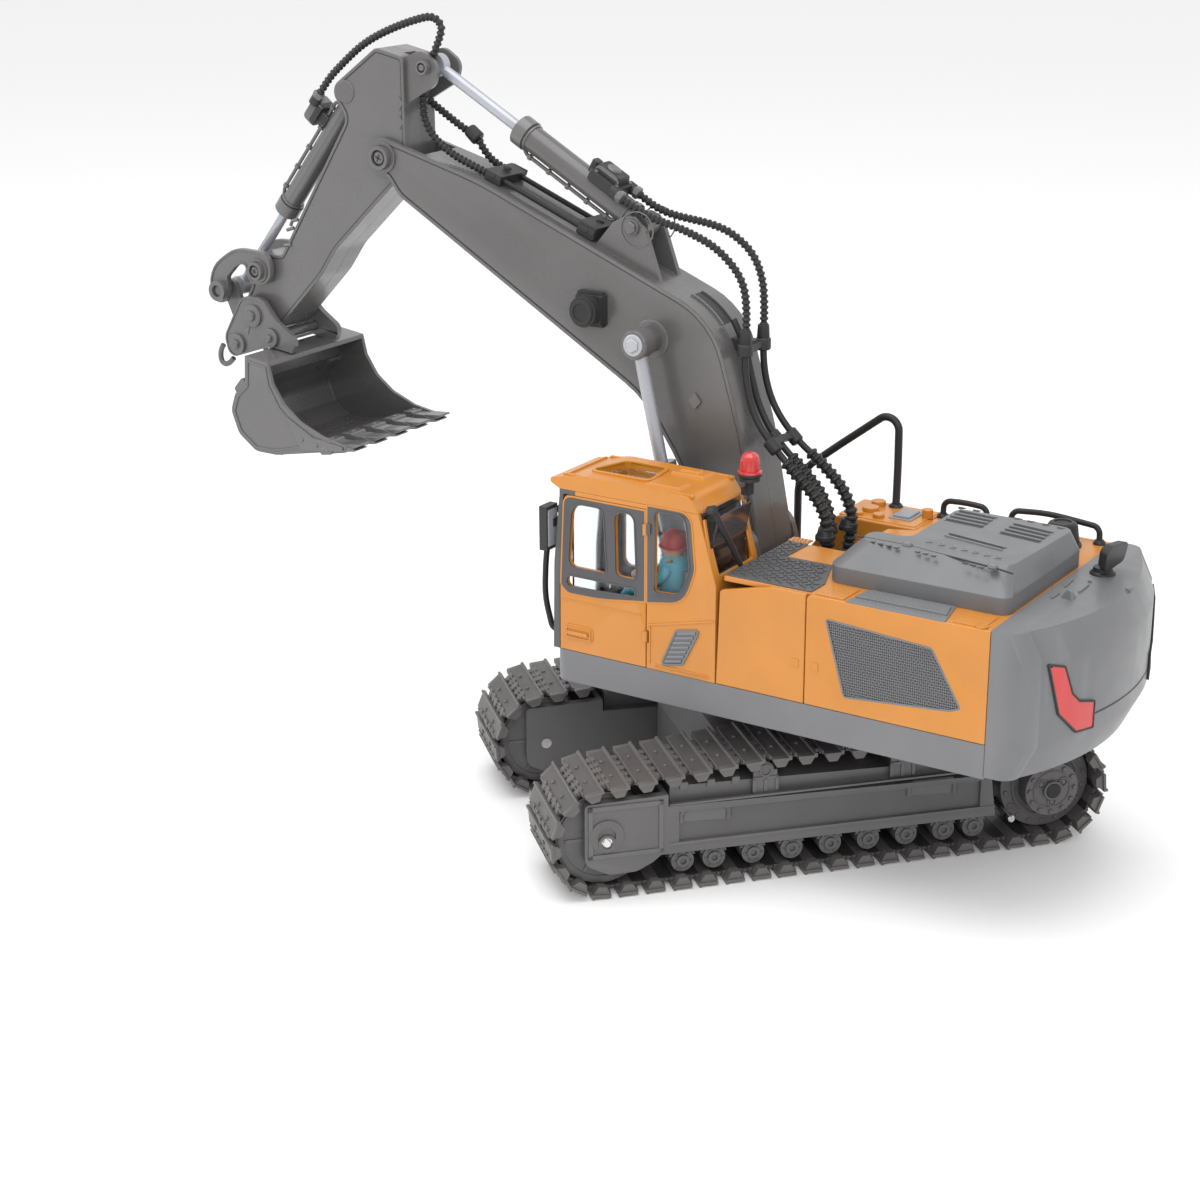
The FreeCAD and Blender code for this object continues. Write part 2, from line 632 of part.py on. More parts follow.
def build_cab():
    """Rear shell, front frame and roof are separate mouldings of one hollow cab."""
    middle = (left - size("cab_inner")) / 2
    door_side = "-%f" % middle
    boom_side = "%f" % middle
    doorway = [(20.2, 70), (57.7, 70), (57.5, 96), (55.5, 131.4), (20.2, 131.4)]
    windscreen = [(3.2 - middle, 84, 2), (middle - 3.2, 84, 2), (middle - 3.2, 130, 2),
                  (3.2 - middle, 130, 2)]
    rear_window = [(3.4 - middle, 110.5, 1), (middle - 4, 110.5, 1), (middle - 4, 131, 1),
                   (3.4 - middle, 131, 1)]

    shell = hollow_cab("cab_shell")
    pocket(shell, "XZ_Plane", rounded(QUARTER_WINDOW), "4", door_side)
    pocket(shell, "XZ_Plane", rounded(doorway), "4", door_side)
    pocket(shell, "XZ_Plane", rounded(RIGHT_WINDOW), "4", boom_side)
    pocket(shell, "YZ_Plane", rounded(rear_window), "20", "-6")
    ahead = [(FRONT_PILLAR, -40), (70, -40), (70, 40), (FRONT_PILLAR, 40)]
    pocket(shell, "XY_Plane", rounded(ahead), "200", "60")
    for z in HINGE_HEIGHTS:
        notch = [(19.2, z - 0.3), (21, z - 0.3), (21, z + KNUCKLE + 0.3), (19.2, z + KNUCKLE + 0.3)]
        pocket(shell, "XZ_Plane", rounded(notch), "4", door_side)

    front = hollow_cab("cab_front_frame")
    pocket(front, "YZ_Plane", rounded(windscreen), "12", "58")
    pocket(front, "XZ_Plane", rounded(doorway), "4", door_side)
    behind = [(FRONT_PILLAR + 0.1, -40), (-70, -40), (-70, 40), (FRONT_PILLAR + 0.1, 40)]
    pocket(front, "XY_Plane", rounded(behind), "200", "60")

    roof = new_body("cab_roof")
    profile = [(-0.6, 133.1), (57.2, 133.1), (61, 135, 1), (61, 136.8, 0.8), (46, 139.4, 20), (3, 138.8, 5)]
    skylight = [(26.5, -8, 2), (43, -8, 2), (48, 8, 2), (24, 8, 2)]
    pad(roof, "XZ_Plane", rounded(profile), "Sizes.body_left - Sizes.cab_inner")
    pocket(roof, "XY_Plane", rounded(skylight), "60", "130")
    roof.setExpression("Placement.Base.y", "(Sizes.body_left + Sizes.cab_inner) / 2")

    inner = size("cab_inner")
    thick = size("glass")
    pane = Part.Face(Part.Wire([edge.toShape() for edge in rounded(inset(skylight, 0.1))]))
    pane.translate(Vector(0, (left + inner) / 2, 136.4))
    wall_inside = left - size("cab_wall")
    panes = [
        extruded(inset(QUARTER_WINDOW, -0.8), wall_inside - thick - 0.1, wall_inside - 0.1),
        extruded(inset(RIGHT_WINDOW, -0.8), inner + 1.7, inner + 1.7 + thick),
        extruded([(53.6, 83.4), (54.4, 83.4), (54.4, 130.6), (53.6, 130.6)], inner + 2.5, left - 4),
        extruded([(-5.6, 110), (-4.8, 110), (-1.3, 131.5), (-2.1, 131.5)], inner + 3.2, left - 3),
        pane.extrude(Vector(0, 0, thick)),
    ]
    shaped("cab_glass", Part.makeCompound(panes))


def build_door():
    """The cab door: a window frame over a closed lower panel, turning on two knuckles."""
    thick = "Sizes.cab_wall"
    centre = "Sizes.body_left - Sizes.cab_wall / 2"
    outline = [(20.7, skirt_top + 0.2), (57.4, skirt_top + 0.2), (57.2, 96), (55.1, 131.1, 2), (20.7, 131.1)]
    windows = [
        [(24.5, 104.5, 2), (33, 104.5, 2), (33.5, 128.5, 3), (25.5, 128.5, 3)],
        [(37, 104.5, 2), (53.4, 104.5, 3), (51.5, 128.5, 5), (38.5, 128.5, 3)],
        [(25, 96.8, 1), (54.2, 96.8, 2), (54, 101, 2), (25, 101, 1)],
    ]
    holes = [edge for window in windows for edge in rounded(window)]
    body = plate("cab_door", rounded(outline) + holes, thick, centre)
    for z in HINGE_HEIGHTS:
        knuckle = ring(size("door_hinge_x"), 0.8 + 0.3, size("door_hinge_radius"))
        pad(body, "XY_Plane", knuckle, str(KNUCKLE), str(z), "One side")
    glass_outline = [(23, 95.4), (55.2, 95.4), (54, 129.8), (23, 129.8)]
    glass_centre = "Sizes.body_left - Sizes.cab_wall - Sizes.glass / 2"
    plate("door_glass", rounded(glass_outline), "Sizes.glass", glass_centre)


def build_cab_interior():
    """Seat and consoles are one moulding; the driver sits on it."""
    seat = [block((8, 41, 80), (26, 57, 86)), block((5, 41.5, 86), (10, 56.5, 108)),
            block((10, 44, 74.2), (24, 54, 80))]
    consoles = [block((40, 38, 76), (50, 60, 90)), block((12, 36.2, 76), (34, 39, 92)),
                rod((42, 50, 90), (39, 50, 97), "0.9"), rod((24, 37.6, 92), (25, 37.6, 99), "0.9"),
                block((5, 36.2, 74), (50, 60, 76))]
    keep(fuse(seat + consoles), "cab_interior")
    chest = Part.makeBox(9, 11, 17, Vector(10.4, 43.5, 86.1))
    figure = chest.makeFillet(3, chest.Edges)
    head = Part.makeSphere(4.4, Vector(15.5, 49, 107))
    helmet = Part.makeSphere(5.4, Vector(15.2, 49, 109.5))
    legs = Part.makeBox(20, 10, 5, Vector(14, 44, 86.3))
    arms = Part.makeBox(13, 15, 3, Vector(13, 41.6, 95))
    shaped("driver_figure", figure.multiFuse([head, helmet, legs, arms]))


def build_boom_brackets():
    """Two cheeks on the floor carry the boom's foot pin and the lift cylinders' pin."""
    cheek = [(33, 61.55), (22, 61.55), (22, 66.5), (-6, 66.5, 3), (3, 104, 8), (6, 114, 9), (20, 114, 9),
             (25, 100, 8), (36, 92, 6)]
    cheeks = [extruded(cheek, side * 14.1 - 1.5, side * 14.1 + 1.5) for side in SIDES.values()]
    bores = [Part.makeCylinder(radius, 80, Vector(place[0], -40, place[1]), Vector(0, 1, 0))
             for place, radius in ((FOOT_PIN, size("arm_pin_radius")), (LIFT_BASE, 2))]
    cheeks = [cheek_solid.cut(bores) for cheek_solid in cheeks]
    foot = Part.makeCylinder(size("arm_pin_radius"), 34, Vector(FOOT_PIN[0], -17, FOOT_PIN[1]),
                             Vector(0, 1, 0))
    lift = Part.makeCylinder(2, 52, Vector(LIFT_BASE[0], -26, LIFT_BASE[1]), Vector(0, 1, 0))
    shaped("boom_brackets", Part.makeCompound(cheeks + [foot, lift]))


def tube_path(points):
    """Straight runs joined by tangent arcs; prints the arcs' radii."""
    points = [Vector(*point) for point in points]
    runs = [(after - before).Length for before, after in zip(points, points[1:])]
    edges = []
    radii = []
    start = points[0]
    for index in range(1, len(points) - 1):
        before = (points[index - 1] - points[index]).normalize()
        after = (points[index + 1] - points[index]).normalize()
        turn = math.pi - before.getAngle(after)
        reach = 0.45 * min(runs[index - 1], runs[index])
        radius = reach / math.tan(turn / 2)
        radii.append(round(radius, 1))
        arrive = points[index] + before * reach
        leave = points[index] + after * reach
        bisector = (before + after).normalize()
        middle = points[index] + bisector * (radius / math.cos(turn / 2) - radius)
        edges.append(Part.LineSegment(start, arrive).toShape())
        edges.append(Part.Arc(arrive, middle, leave).toShape())
        start = leave
    edges.append(Part.LineSegment(start, points[-1]).toShape())
    return Part.Wire(edges), radii


def tube(points, radius, name):
    wire, radii = tube_path(points)
    along = Vector(*points[1]) - Vector(*points[0])
    circle = Part.makeCircle(radius, Vector(*points[0]), along)
    solid = wire.makePipeShell([Part.Wire(circle)], True, False)
    expected = math.pi * radius ** 2 * wire.Length
    ratio = solid.Volume / expected
    print("%s: radii %s, length %.1f, volume ratio %.4f" % (name, radii, wire.Length, ratio))
    return solid


def build_fittings():
    """Lamps, rails, mirrors and the other small pieces on the upper body."""
    beacon = Part.makeCylinder(3.4, 7.3, Vector(-5.5, 37.5, 142.2))
    lamps = [tail_lamp(side, 1, 0.6, 0) for side in SIDES.values()]
    shaped("signal_lenses", Part.makeCompound([beacon] + lamps))
    rail = [(16.9, -41, 78.8), (16.9, -41, 100), (17.2, -41, 119), (1.5, -41, 131.5), (-24.8, -41, 151.5),
            (-25.2, -41, 130), (-25, -41, 112.1)]
    low_rail = [(-45.2, -39.6, 112.3), (-45.4, -39.6, 118.4), (-54, -39.6, 119), (-62.8, -39.6, 118.4),
                (-63, -39.6, 112.3)]
    side_rail = [(-72, -40.6, 112.3), (-72.2, -40.6, 118.8), (-86, -42, 119.6), (-106.4, -40.6, 118.2),
                 (-106.6, -40.6, 112.3)]
    cab_rail = [(60.9, 57.8, 124), (65, 58, 121), (68, 58, 104), (68.6, 58, 88), (65.4, 58, 76.4),
                (61.6, 57.8, 76)]
    shaped("handrails", Part.makeCompound([
        tube(rail, 1.5, "tall handrail"), tube(low_rail, 1.1, "deck handrail"),
        tube(side_rail, 1.1, "side handrail"), tube(cab_rail, 1.1, "cab handrail")]))
    beacon_arm = fuse([rod((-5.5, 37.5, 139.4), (-5.5, 37.5, 142), "3.8"),
                       rod((-5.5, 37.5, 134.5), (-5.5, 37.5, 139.4), "1.6"),
                       block((-6, 36, 134), (-2.9, 39, 136.5))])
    mirror = fuse([block((60.2, 60.2, 118), (64.8, 64, 121)), block((61, 60.4, 109.5), (64.2, 67.5, 126))])
    wiper = fuse([rod((-4.4, 60.6, 133.5), (-9.4, 49.6, 111.8), "0.7"),
                  rod((-2.6, 60.6, 134.2), (-5.4, 60.6, 133.7), "1.2")])
    rear_mirror = fuse([rod((-121, -9, deck + 0.6), (-121, -9, deck + 3.4), "3.4"),
                        block((-126.5, -17, deck + 3), (-122.5, -2, deck + 13))])
    group([beacon_arm, mirror, wiper, rear_mirror], "cab_fittings")
    keep(block((-106, -28, 61.7), (-62, 28, 84)), "battery_pack")


# ---------------------------------------------------------------- arm

BOOM = [(181.2, 243.7, 7.2), (128, 229.5, 150), (25, 188.5, 32), (12, 146, 80), (1.2, 91.5, 12),
        (25, 91.5, 12), (39, 132, 40), (55, 155.2, 40), (166.5, 219.9, 10), (172, 227.1, 3),
        (181.2, 227.1, 7.2)]
STICK = [(164.6, 272.5, 3), (178, 275.2, 3), (201, 258.3, 5), (193, 247.5, 5), (230, 189.5, 3),
         (247.5, 189.5, 6), (246.5, 176, 4), (249.8, 170, 5), (249.8, 157.5, 7), (235, 157.5, 7),
         (209.5, 183.5, 30), (201.5, 194.8, 20), (174, 220.9, 10), (164.6, 229, 8)]


def point(place, y=0):
    return (place[0], y, place[1])


def along(start, end, distance):
    """The point at a distance from start towards end, in X and Z."""
    share = distance / math.dist(start, end)
    return (start[0] + (end[0] - start[0]) * share, start[1] + (end[1] - start[1]) * share)


def half_shell(label, side, outline, width, wall):
    """One half of a hollow arm, split down the middle."""
    thickness = size(width) / 2
    body = new_body(label)
    pad(body, "XZ_Plane", rounded(outline), "Sizes.%s / 2" % width)
    pocket(body, "XZ_Plane", rounded(inset(outline, wall)), str(thickness), "%f" % (side * wall))
    body.setExpression("Placement.Base.y", "%d * Sizes.%s / 4" % (side, width))
    return body


BOSS_OFFSET = 8.7


def build_boom():
    wall = size("boom_wall")
    quarter = size("boom_width") / 4
    for name, side in SIDES.items():
        body = half_shell("boom_%s_shell" % name, side, BOOM, "boom_width", wall)
        pocket(body, "XZ_Plane", ring(*TIP_PIN, FORK_REACH), str(2 * quarter), "%f" % (side * wall))
        ear = [(80, 208), (71, 218.5, 4), (63.5, 222.5, 5), (57, 216.5, 4), (50, 197)]
        pad(body, "XZ_Plane", rounded(ear), "2.2", "%f" % (side * (quarter - 6.5)))
        pad(body, "XZ_Plane", ring(*LIFT_EYE, 4.8), "6", "%f" % -(side * BOSS_OFFSET))
        holes = ring(*FOOT_PIN, size("arm_pin_radius") + size("running_gap"))
        holes += ring(*TIP_PIN, size("arm_pin_radius")) + ring(*STICK_BASE, 1.8)
        pocket(body, "XZ_Plane", holes, "60")
    tip = fuse([rod(point(TIP_PIN, -13.4), point(TIP_PIN, 13.4), "Sizes.arm_pin_radius"),
                rod(point(TIP_PIN, 12.05), point(TIP_PIN, 13.4), "4.4"),
                rod(point(TIP_PIN, -13.4), point(TIP_PIN, -12.05), "4.4")])
    base = rod(point(STICK_BASE, -8), point(STICK_BASE, 8), "1.8")
    group([tip, base], "boom_pins")


def build_stick():
    wall = size("boom_wall")
    quarter = size("stick_width") / 4
    slot = [(184, 266), (204, 264), (206, 246), (189.5, 246)]
    for name, side in SIDES.items():
        body = half_shell("stick_%s_shell" % name, side, STICK, "stick_width", wall)
        lug = [(166, 254), (166, 272), (157, 275.5, 5), (148.8, 270, 5), (151, 262.5, 5)]
        pad(body, "XZ_Plane", rounded(lug), "1.8", "%f" % (side * (quarter - 7.1)))
        pocket(body, "XZ_Plane", rounded(slot), "10", "%f" % (side * quarter))
        opening = [(160, 256), (169, 256), (169, 273.5), (160, 273.5)]
        pocket(body, "XZ_Plane", rounded(opening), "7", "%f" % (side * quarter))
        holes = ring(*TIP_PIN, size("arm_pin_radius") + size("running_gap")) + ring(*BUCKET_BASE, 1.8)
        holes += ring(*LEVER_PIN, 2) + ring(*BUCKET_PIN, size("arm_pin_radius") + size("running_gap"))
        pocket(body, "XZ_Plane", holes, "60")
    lever = fuse([rod(point(LEVER_PIN, -14.6), point(LEVER_PIN, 14.6), "2"),
                  rod(point(LEVER_PIN, 13.36), point(LEVER_PIN, 14.6), "3.6"),
                  rod(point(LEVER_PIN, -14.6), point(LEVER_PIN, -13.36), "3.6")])
    base = rod(point(BUCKET_BASE, -9.9), point(BUCKET_BASE, 9.9), "1.8")
    caps = [rod(point(STICK_EYE, side * 8.02), point(STICK_EYE, side * 9.4), "2.6")
            for side in SIDES.values()]
    group([lever, base] + caps, "stick_pins")


def build_cylinder(name, base, eye, spec, ys):
    """Barrel with its base eye, and rod with its end eye; the rod slides in the barrel's bore."""
    barrels = []
    rods = []
    for y in ys:
        start = point(along(base, eye, spec["barrel_start"]), y)
        end = point(along(base, eye, spec["barrel_end"]), y)
        outer = rod(start, end, spec["barrel"])
        collar = rod(point(along(base, eye, spec["barrel_end"] - 5), y), end, spec["barrel"] + " + 0.8")
        knuckle = rod(point(base, y - spec["eye_half"]), point(base, y + spec["eye_half"]), str(spec["eye"]))
        solid = fuse([outer, collar, knuckle] + spec.get("blocks", []))
        bore_start = point(along(base, eye, spec["barrel_start"] + 2.5), y)
        bore_end = point(along(base, eye, spec["barrel_end"] + 1), y)
        bore_hole = rod(bore_start, bore_end, spec["rod"] + " + Sizes.running_gap")
        pin_hole = rod(point(base, y - 20), point(base, y + 20), str(spec["pin"] + size("running_gap")))
        barrels.append(cut(cut(solid, bore_hole), pin_hole))
        shaft = rod(point(along(base, eye, spec["rod_start"]), y), point(eye, y), spec["rod"])
        knuckle = rod(point(eye, y - spec["end_half"]), point(eye, y + spec["end_half"]), str(spec["end"]))
        rods.append(fuse([shaft, knuckle]))
    if len(ys) > 1:
        group(barrels, name + "_cylinder_barrels")
        group(rods, name + "_cylinder_rods")
    else:
        keep(barrels[0], name + "_cylinder_barrel")
        keep(rods[0], name + "_cylinder_rod")


NOZZLE_RADIUS = 2.1


def valve_block(base, eye, slabs, nozzles):
    """A hose block on a barrel, from slabs of (outline, half width) and nozzles of (from, to, out, y).

    Places are (distance along the cylinder from its base pin, distance out from its axis).
    """
    axis = Vector(eye[0] - base[0], eye[1] - base[1], 0).normalize()
    outward = Vector(-axis.y, axis.x, 0)

    def place(distance, out):
        spot = Vector(*base, 0) + axis * distance + outward * out
        return spot.x, spot.y

    solids = []
    for corners, half_width in slabs:
        outline = [place(*corner[:2]) + tuple(corner[2:]) for corner in corners]
        solids.append(extruded(outline, -half_width, half_width))
    for start, end, out, y in nozzles:
        tip = Vector(*point(place(end, out), y))
        run = tip - Vector(*point(place(start, out), y))
        solids.append(Part.makeCylinder(NOZZLE_RADIUS, run.Length, tip - run, run))
    item = doc.addObject("Part::Feature", "valve_block")
    item.Shape = solids[0].multiFuse(solids[1:])
    return item


def build_cylinders():
    spread = size("cylinder_spread") / 2
    build_cylinder("boom", LIFT_BASE, LIFT_EYE, {
        "barrel": "Sizes.boom_barrel_radius", "rod": "Sizes.boom_rod_radius", "barrel_start": 4.5,
        "barrel_end": 50, "eye": 5, "eye_half": 3, "pin": 2, "rod_start": 21.5, "end": 5.2, "end_half": 3,
    }, (-spread, spread))
    stick_valve = valve_block(
        STICK_BASE, STICK_EYE,
        [([(13, 3.5), (26.5, 3.5), (26.5, 7.4), (13, 7.4)], 5.6),
         ([(14.5, 7.2), (25.8, 7.2), (25.8, 10.2, 2.4), (14.5, 10.2, 2.4)], 4)],
        [(15, 9.8, 5.8, 5.8), (15, 9.8, 5.8, -5.8)])
    build_cylinder("stick", STICK_BASE, STICK_EYE, {
        "barrel": "Sizes.stick_barrel_radius", "rod": "Sizes.stick_rod_radius", "barrel_start": 4,
        "barrel_end": 62.7, "eye": 4.6, "eye_half": 4.2, "pin": 1.8, "rod_start": 24.5, "end": 4.4,
        "end_half": 2, "blocks": [stick_valve],
    }, (0,))
    bucket_valve = valve_block(
        BUCKET_BASE, LINK_PIN,
        [([(18.5, 3.5), (23, 3.5), (23, 8), (18.5, 8)], 3),
         ([(16.5, 7.6), (25.6, 7.6, 1), (25.6, 13.4, 1.6), (16.5, 13.4)], 4.2)],
        [(18, 12.6, 12, 4)])
    build_cylinder("bucket", BUCKET_BASE, LINK_PIN, {
        "barrel": "Sizes.bucket_barrel_radius", "rod": "Sizes.bucket_rod_radius", "barrel_start": 4,
        "barrel_end": 66, "eye": 4.4, "eye_half": 4.2, "pin": 1.8, "rod_start": 24, "end": 4,
        "end_half": 3, "blocks": [bucket_valve],
    }, (0,))


def paired_plates(label, outline, holes, gauge, thickness, pins=()):
    """Two equal plates, one each side of the machine's middle, with the pins they carry."""
    solids = list(pins)
    wall = size(gauge) / 2
    for side in SIDES.values():
        low, high = sorted((side * wall, side * (wall + thickness)))
        solid = extruded(outline, low, high)
        for place, radius in holes:
            hole = Part.makeCylinder(radius, 40, Vector(place[0], -20, place[1]), Vector(0, 1, 0))
            solid = solid.cut(hole)
        solids.append(solid)
    return shaped(label, Part.makeCompound(solids))


def build_linkage():
    lever = [(232.9, 177.2, 6), (232.9, 190.9, 6.5), (252, 191.3, 16), (266.2, 181.5, 14),
             (266.2, 167.3, 4.8), (256.6, 167.3, 4.5), (256.6, 178.5, 3), (250.5, 184.6, 6),
             (246.3, 184.6, 1.5), (245.8, 177.2, 5)]
    pins = []
    for side in SIDES.values():
        low, high = sorted((side * 4.6, side * 14.6))
        stub = Part.makeCylinder(2, high - low, Vector(LINK_PIN[0], low, LINK_PIN[1]), Vector(0, 1, 0))
        low, high = sorted((side * 13.35, side * 14.6))
        head = Part.makeCylinder(3.8, high - low, Vector(LINK_PIN[0], low, LINK_PIN[1]), Vector(0, 1, 0))
        pins.append(stub.fuse(head))
    paired_plates("bucket_lever", lever, [(LEVER_PIN, 2.05), (LINK_PIN, 2)], "lever_gauge", 2.3, pins)
    link_geometry = around([(COUPLER_PIN[0], COUPLER_PIN[1], 3.8), (LINK_PIN[0], LINK_PIN[1], 3.8)])
    face = Part.Face(Part.Wire([edge.toShape() for edge in link_geometry]))
    face.rotate(Vector(0, 0, 0), Vector(1, 0, 0), 90)
    links = []
    for side in SIDES.values():
        solid = face.extrude(Vector(0, 2.2, 0))
        solid.translate(Vector(0, side * (size("link_gauge") / 2 - 1.1) - 1.1, 0))
        hole = Part.makeCylinder(2.05, 40, Vector(LINK_PIN[0], -20, LINK_PIN[1]), Vector(0, 1, 0))
        links.append(solid.cut(hole))
    shaped("bucket_link", Part.makeCompound(links))


def build_bucket():
    wall = size("bucket_wall")
    body = new_body("bucket")
    outer = [(233.8, 151.9), (222, 150.4), (219.9, 141.9), (214.6, 134, 8), (206.6, 128, 8), (195, 123.5),
             (183, 121.6), (183, 119.6), (195.3, 117), (219.8, 112.2, 8), (230.5, 112.3, 6),
             (239.2, 118.6, 6), (242.8, 127.9, 6), (240.1, 135.4, 4), (234.6, 140, 2)]
    hollow = [(232, 149.4), (232.7, 140.6), (238, 134.4, 2), (240.9, 127.9, 4), (237.6, 119.9, 4),
              (229.9, 114.1, 4), (220, 114, 3), (196, 118.9, 20), (165, 123.6), (165, 148.3), (218, 148.3)]
    pad(body, "XZ_Plane", rounded(outer), "Sizes.bucket_width")
    pocket(body, "XZ_Plane", rounded(hollow), "Sizes.bucket_width - 2 * %f" % wall)
    tooth = [(189, 121.6), (177, 122.8), (176.6, 122.2), (184, 118.4), (190, 117.2)]
    for number in range(5):
        pad(body, "XZ_Plane", rounded(tooth), "7", "%f" % ((number - 2) * 13.4))
    coupler = [(237, 172, 6), (248, 172, 6), (258.5, 154, 6), (256, 144.8, 4), (234.2, 152.3), (222.2, 151),
               (219.5, 156.5, 4), (230, 163.5, 8)]
    holes = [(BUCKET_PIN, 2.5), (COUPLER_PIN, 2), (LATCH_PIN, 2)]
    paired_plates("bucket_coupler", coupler, holes, "coupler_gauge", 2.4)


def build_coupler_pins():
    width = size("coupler_gauge") / 2 + 2.4
    pins = []
    for place, radius in ((BUCKET_PIN, 2.5), (LATCH_PIN, 2)):
        heads = [rod(point(place, side * (width + 0.02)), point(place, side * (width + 1.4)), "4")
                 for side in SIDES.values()]
        pins.append(fuse([rod(point(place, -width - 1), point(place, width + 1), str(radius))] + heads))
    for side in SIDES.values():
        stub = rod(point(COUPLER_PIN, side * 8.7), point(COUPLER_PIN, side * (width + 1)), "2")
        head_start, head_end = side * (width + 0.02), side * (width + 1.4)
        pins.append(fuse([stub, rod(point(COUPLER_PIN, head_start), point(COUPLER_PIN, head_end), "4.2")]))
    group(pins, "coupler_pins")


def build_boom_fittings():
    """Work lamp on the left side, and the twin pipes on top with the clamps that end the hoses."""
    lamp = fuse([block((71.5, 12.02, 180), (82.5, 14.4, 193)),
                 rod((77, 14.4, 186.3), (77, 19.5, 186.3), "5.4")])
    pipes = [rod((123, side * 6, 229.6), (84, side * 6, 214.1), "1") for side in SIDES.values()]
    clamps = []
    for corners in ([(121.6, 227.3), (128.6, 230), (127.3, 233.4), (120.3, 230.7)],
                    [(79.6, 210.6), (87, 213.5), (85.2, 218.1), (77.8, 215.2)]):
        clamp = doc.addObject("Part::Feature", "clamp")
        clamp.Shape = extruded(corners, -8.4, 8.4)
        clamps.append(clamp)
    group([lamp, fuse(pipes + clamps)], "boom_fittings")


# Routes of the hoses: the near, far and middle ones follow the back of the boom, the others the stick.
NEAR_HOSE = [(68, 5.8, 227.1), (61.3, 6, 223.8), (53.7, 6.3, 221), (46.5, 6.5, 219.6), (39.4, 6.7, 218),
             (27.7, 7, 213.8), (19.3, 7, 207), (15.2, 7, 200.4), (14.1, 7, 191), (14.4, 7, 180),
             (14.2, 7.4, 168), (9.8, 8, 153), (1.6, 8, 143.6), (-8, 8, 134.5), (-18, 8, 126),
             (-22.4, 8, 116), (-20.5, 8, 104)]
FAR_HOSE = [(68, -5.8, 227.1), (62.9, -5.8, 224), (57.2, -5.8, 221.8), (51.5, -5.9, 220.6), (45.5, -6, 220),
            (39.5, -6, 219.4), (33.4, -6, 218.3), (27.3, -6, 216.1), (19.2, -6, 210.3), (14.9, -6, 201),
            (14.1, -6, 190), (14.6, -6.2, 178), (14.1, -6.8, 165.9), (10, -7, 154), (1.6, -7.6, 143.6),
            (-11, -8, 134.6), (-20, -8, 126.4), (-24.2, -8, 115), (-21.5, -8, 104)]
MIDDLE_HOSE = [(23.4, 0.4, 186.5), (18.4, 0.4, 178), (15.4, 0.4, 166), (11.6, 0.4, 154.4), (5, 0.4, 144.6),
               (-5.6, 0.2, 135.2), (-15.4, 0, 125.6), (-19.4, 0, 114.6), (-17.4, 0, 104)]
LOOP_HOSE = [(210.6, 4, 255.3), (206, 4, 261.3), (198.5, 4, 267.6), (190.5, 4, 273.9), (182.8, 4, 278.4),
             (172.3, 4, 282.8), (161.9, 4, 286.2), (154, 4, 288), (149.6, 4, 284.5), (151.2, 4, 279.5),
             (154.4, 4, 273.1), (157.9, 4, 264.7), (159.6, 4.4, 255), (159, 4.4, 249), (154.5, 5, 242.6),
             (145.5, 5.6, 237), (136.5, 6, 233.9), (128.3, 6, 231.2)]
SHORT_HOSE = [(163.2, -4.4, 255), (156.2, -4.5, 250.6), (147.1, -4.8, 245.3), (140.6, -5.2, 242),
              (138.8, -5.5, 238.2), (134.1, -6, 233.2), (128.3, -6, 231.2)]


def build_hoses():
    radius = size("hose_radius")
    boom_hoses = [tube(NEAR_HOSE, radius, "near hose"), tube(FAR_HOSE, radius, "far hose"),
                  tube(MIDDLE_HOSE, radius, "middle hose")]
    shaped("boom_hoses", Part.makeCompound(boom_hoses))
    stick_hoses = [tube(LOOP_HOSE, radius, "loop hose"), tube(SHORT_HOSE, radius, "short hose")]
    shaped("stick_hoses", Part.makeCompound(stick_hoses))


build_platform()
build_counterweight()
build_side_panels()
build_deck()
build_hood()
build_right_box()
build_cab()
build_door()
build_cab_interior()
build_boom_brackets()
build_fittings()
build_boom()
build_stick()
build_cylinders()
build_linkage()
build_bucket()
build_coupler_pins()
build_boom_fittings()
build_hoses()


# ---------------------------------------------------------------- export

doc.recompute()
for item in doc.Objects:
    for state in ("Invalid", "Error"):
        if state in item.State:
            raise ValueError("%s is %s" % (item.Label, state))
if len(parts) > 60:
    raise ValueError("%d nodes" % len(parts))
os.makedirs("parts", exist_ok=True)
for part in parts:
    if part.Shape.isNull() or not part.Shape.isValid():
        raise ValueError("%s has no valid shape" % part.Label)
    part.Shape.exportStep("parts/%s.step" % part.Label)
print("%d nodes" % len(parts))
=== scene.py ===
import math

import bmesh
import bpy
from mathutils import Matrix, Vector
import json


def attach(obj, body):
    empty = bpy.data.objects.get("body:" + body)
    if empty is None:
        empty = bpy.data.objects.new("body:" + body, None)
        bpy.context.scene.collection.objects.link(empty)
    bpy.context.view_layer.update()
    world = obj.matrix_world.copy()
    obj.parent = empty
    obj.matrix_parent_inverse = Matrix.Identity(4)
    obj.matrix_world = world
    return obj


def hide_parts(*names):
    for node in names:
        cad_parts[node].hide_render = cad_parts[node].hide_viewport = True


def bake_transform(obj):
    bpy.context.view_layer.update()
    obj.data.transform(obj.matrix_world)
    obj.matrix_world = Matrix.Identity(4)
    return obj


# Looks of the toy excavator.  Shapes are written in millimetres and stored in metres.
# +X is forward along the boom, +Y is the cab side, +Z is up.

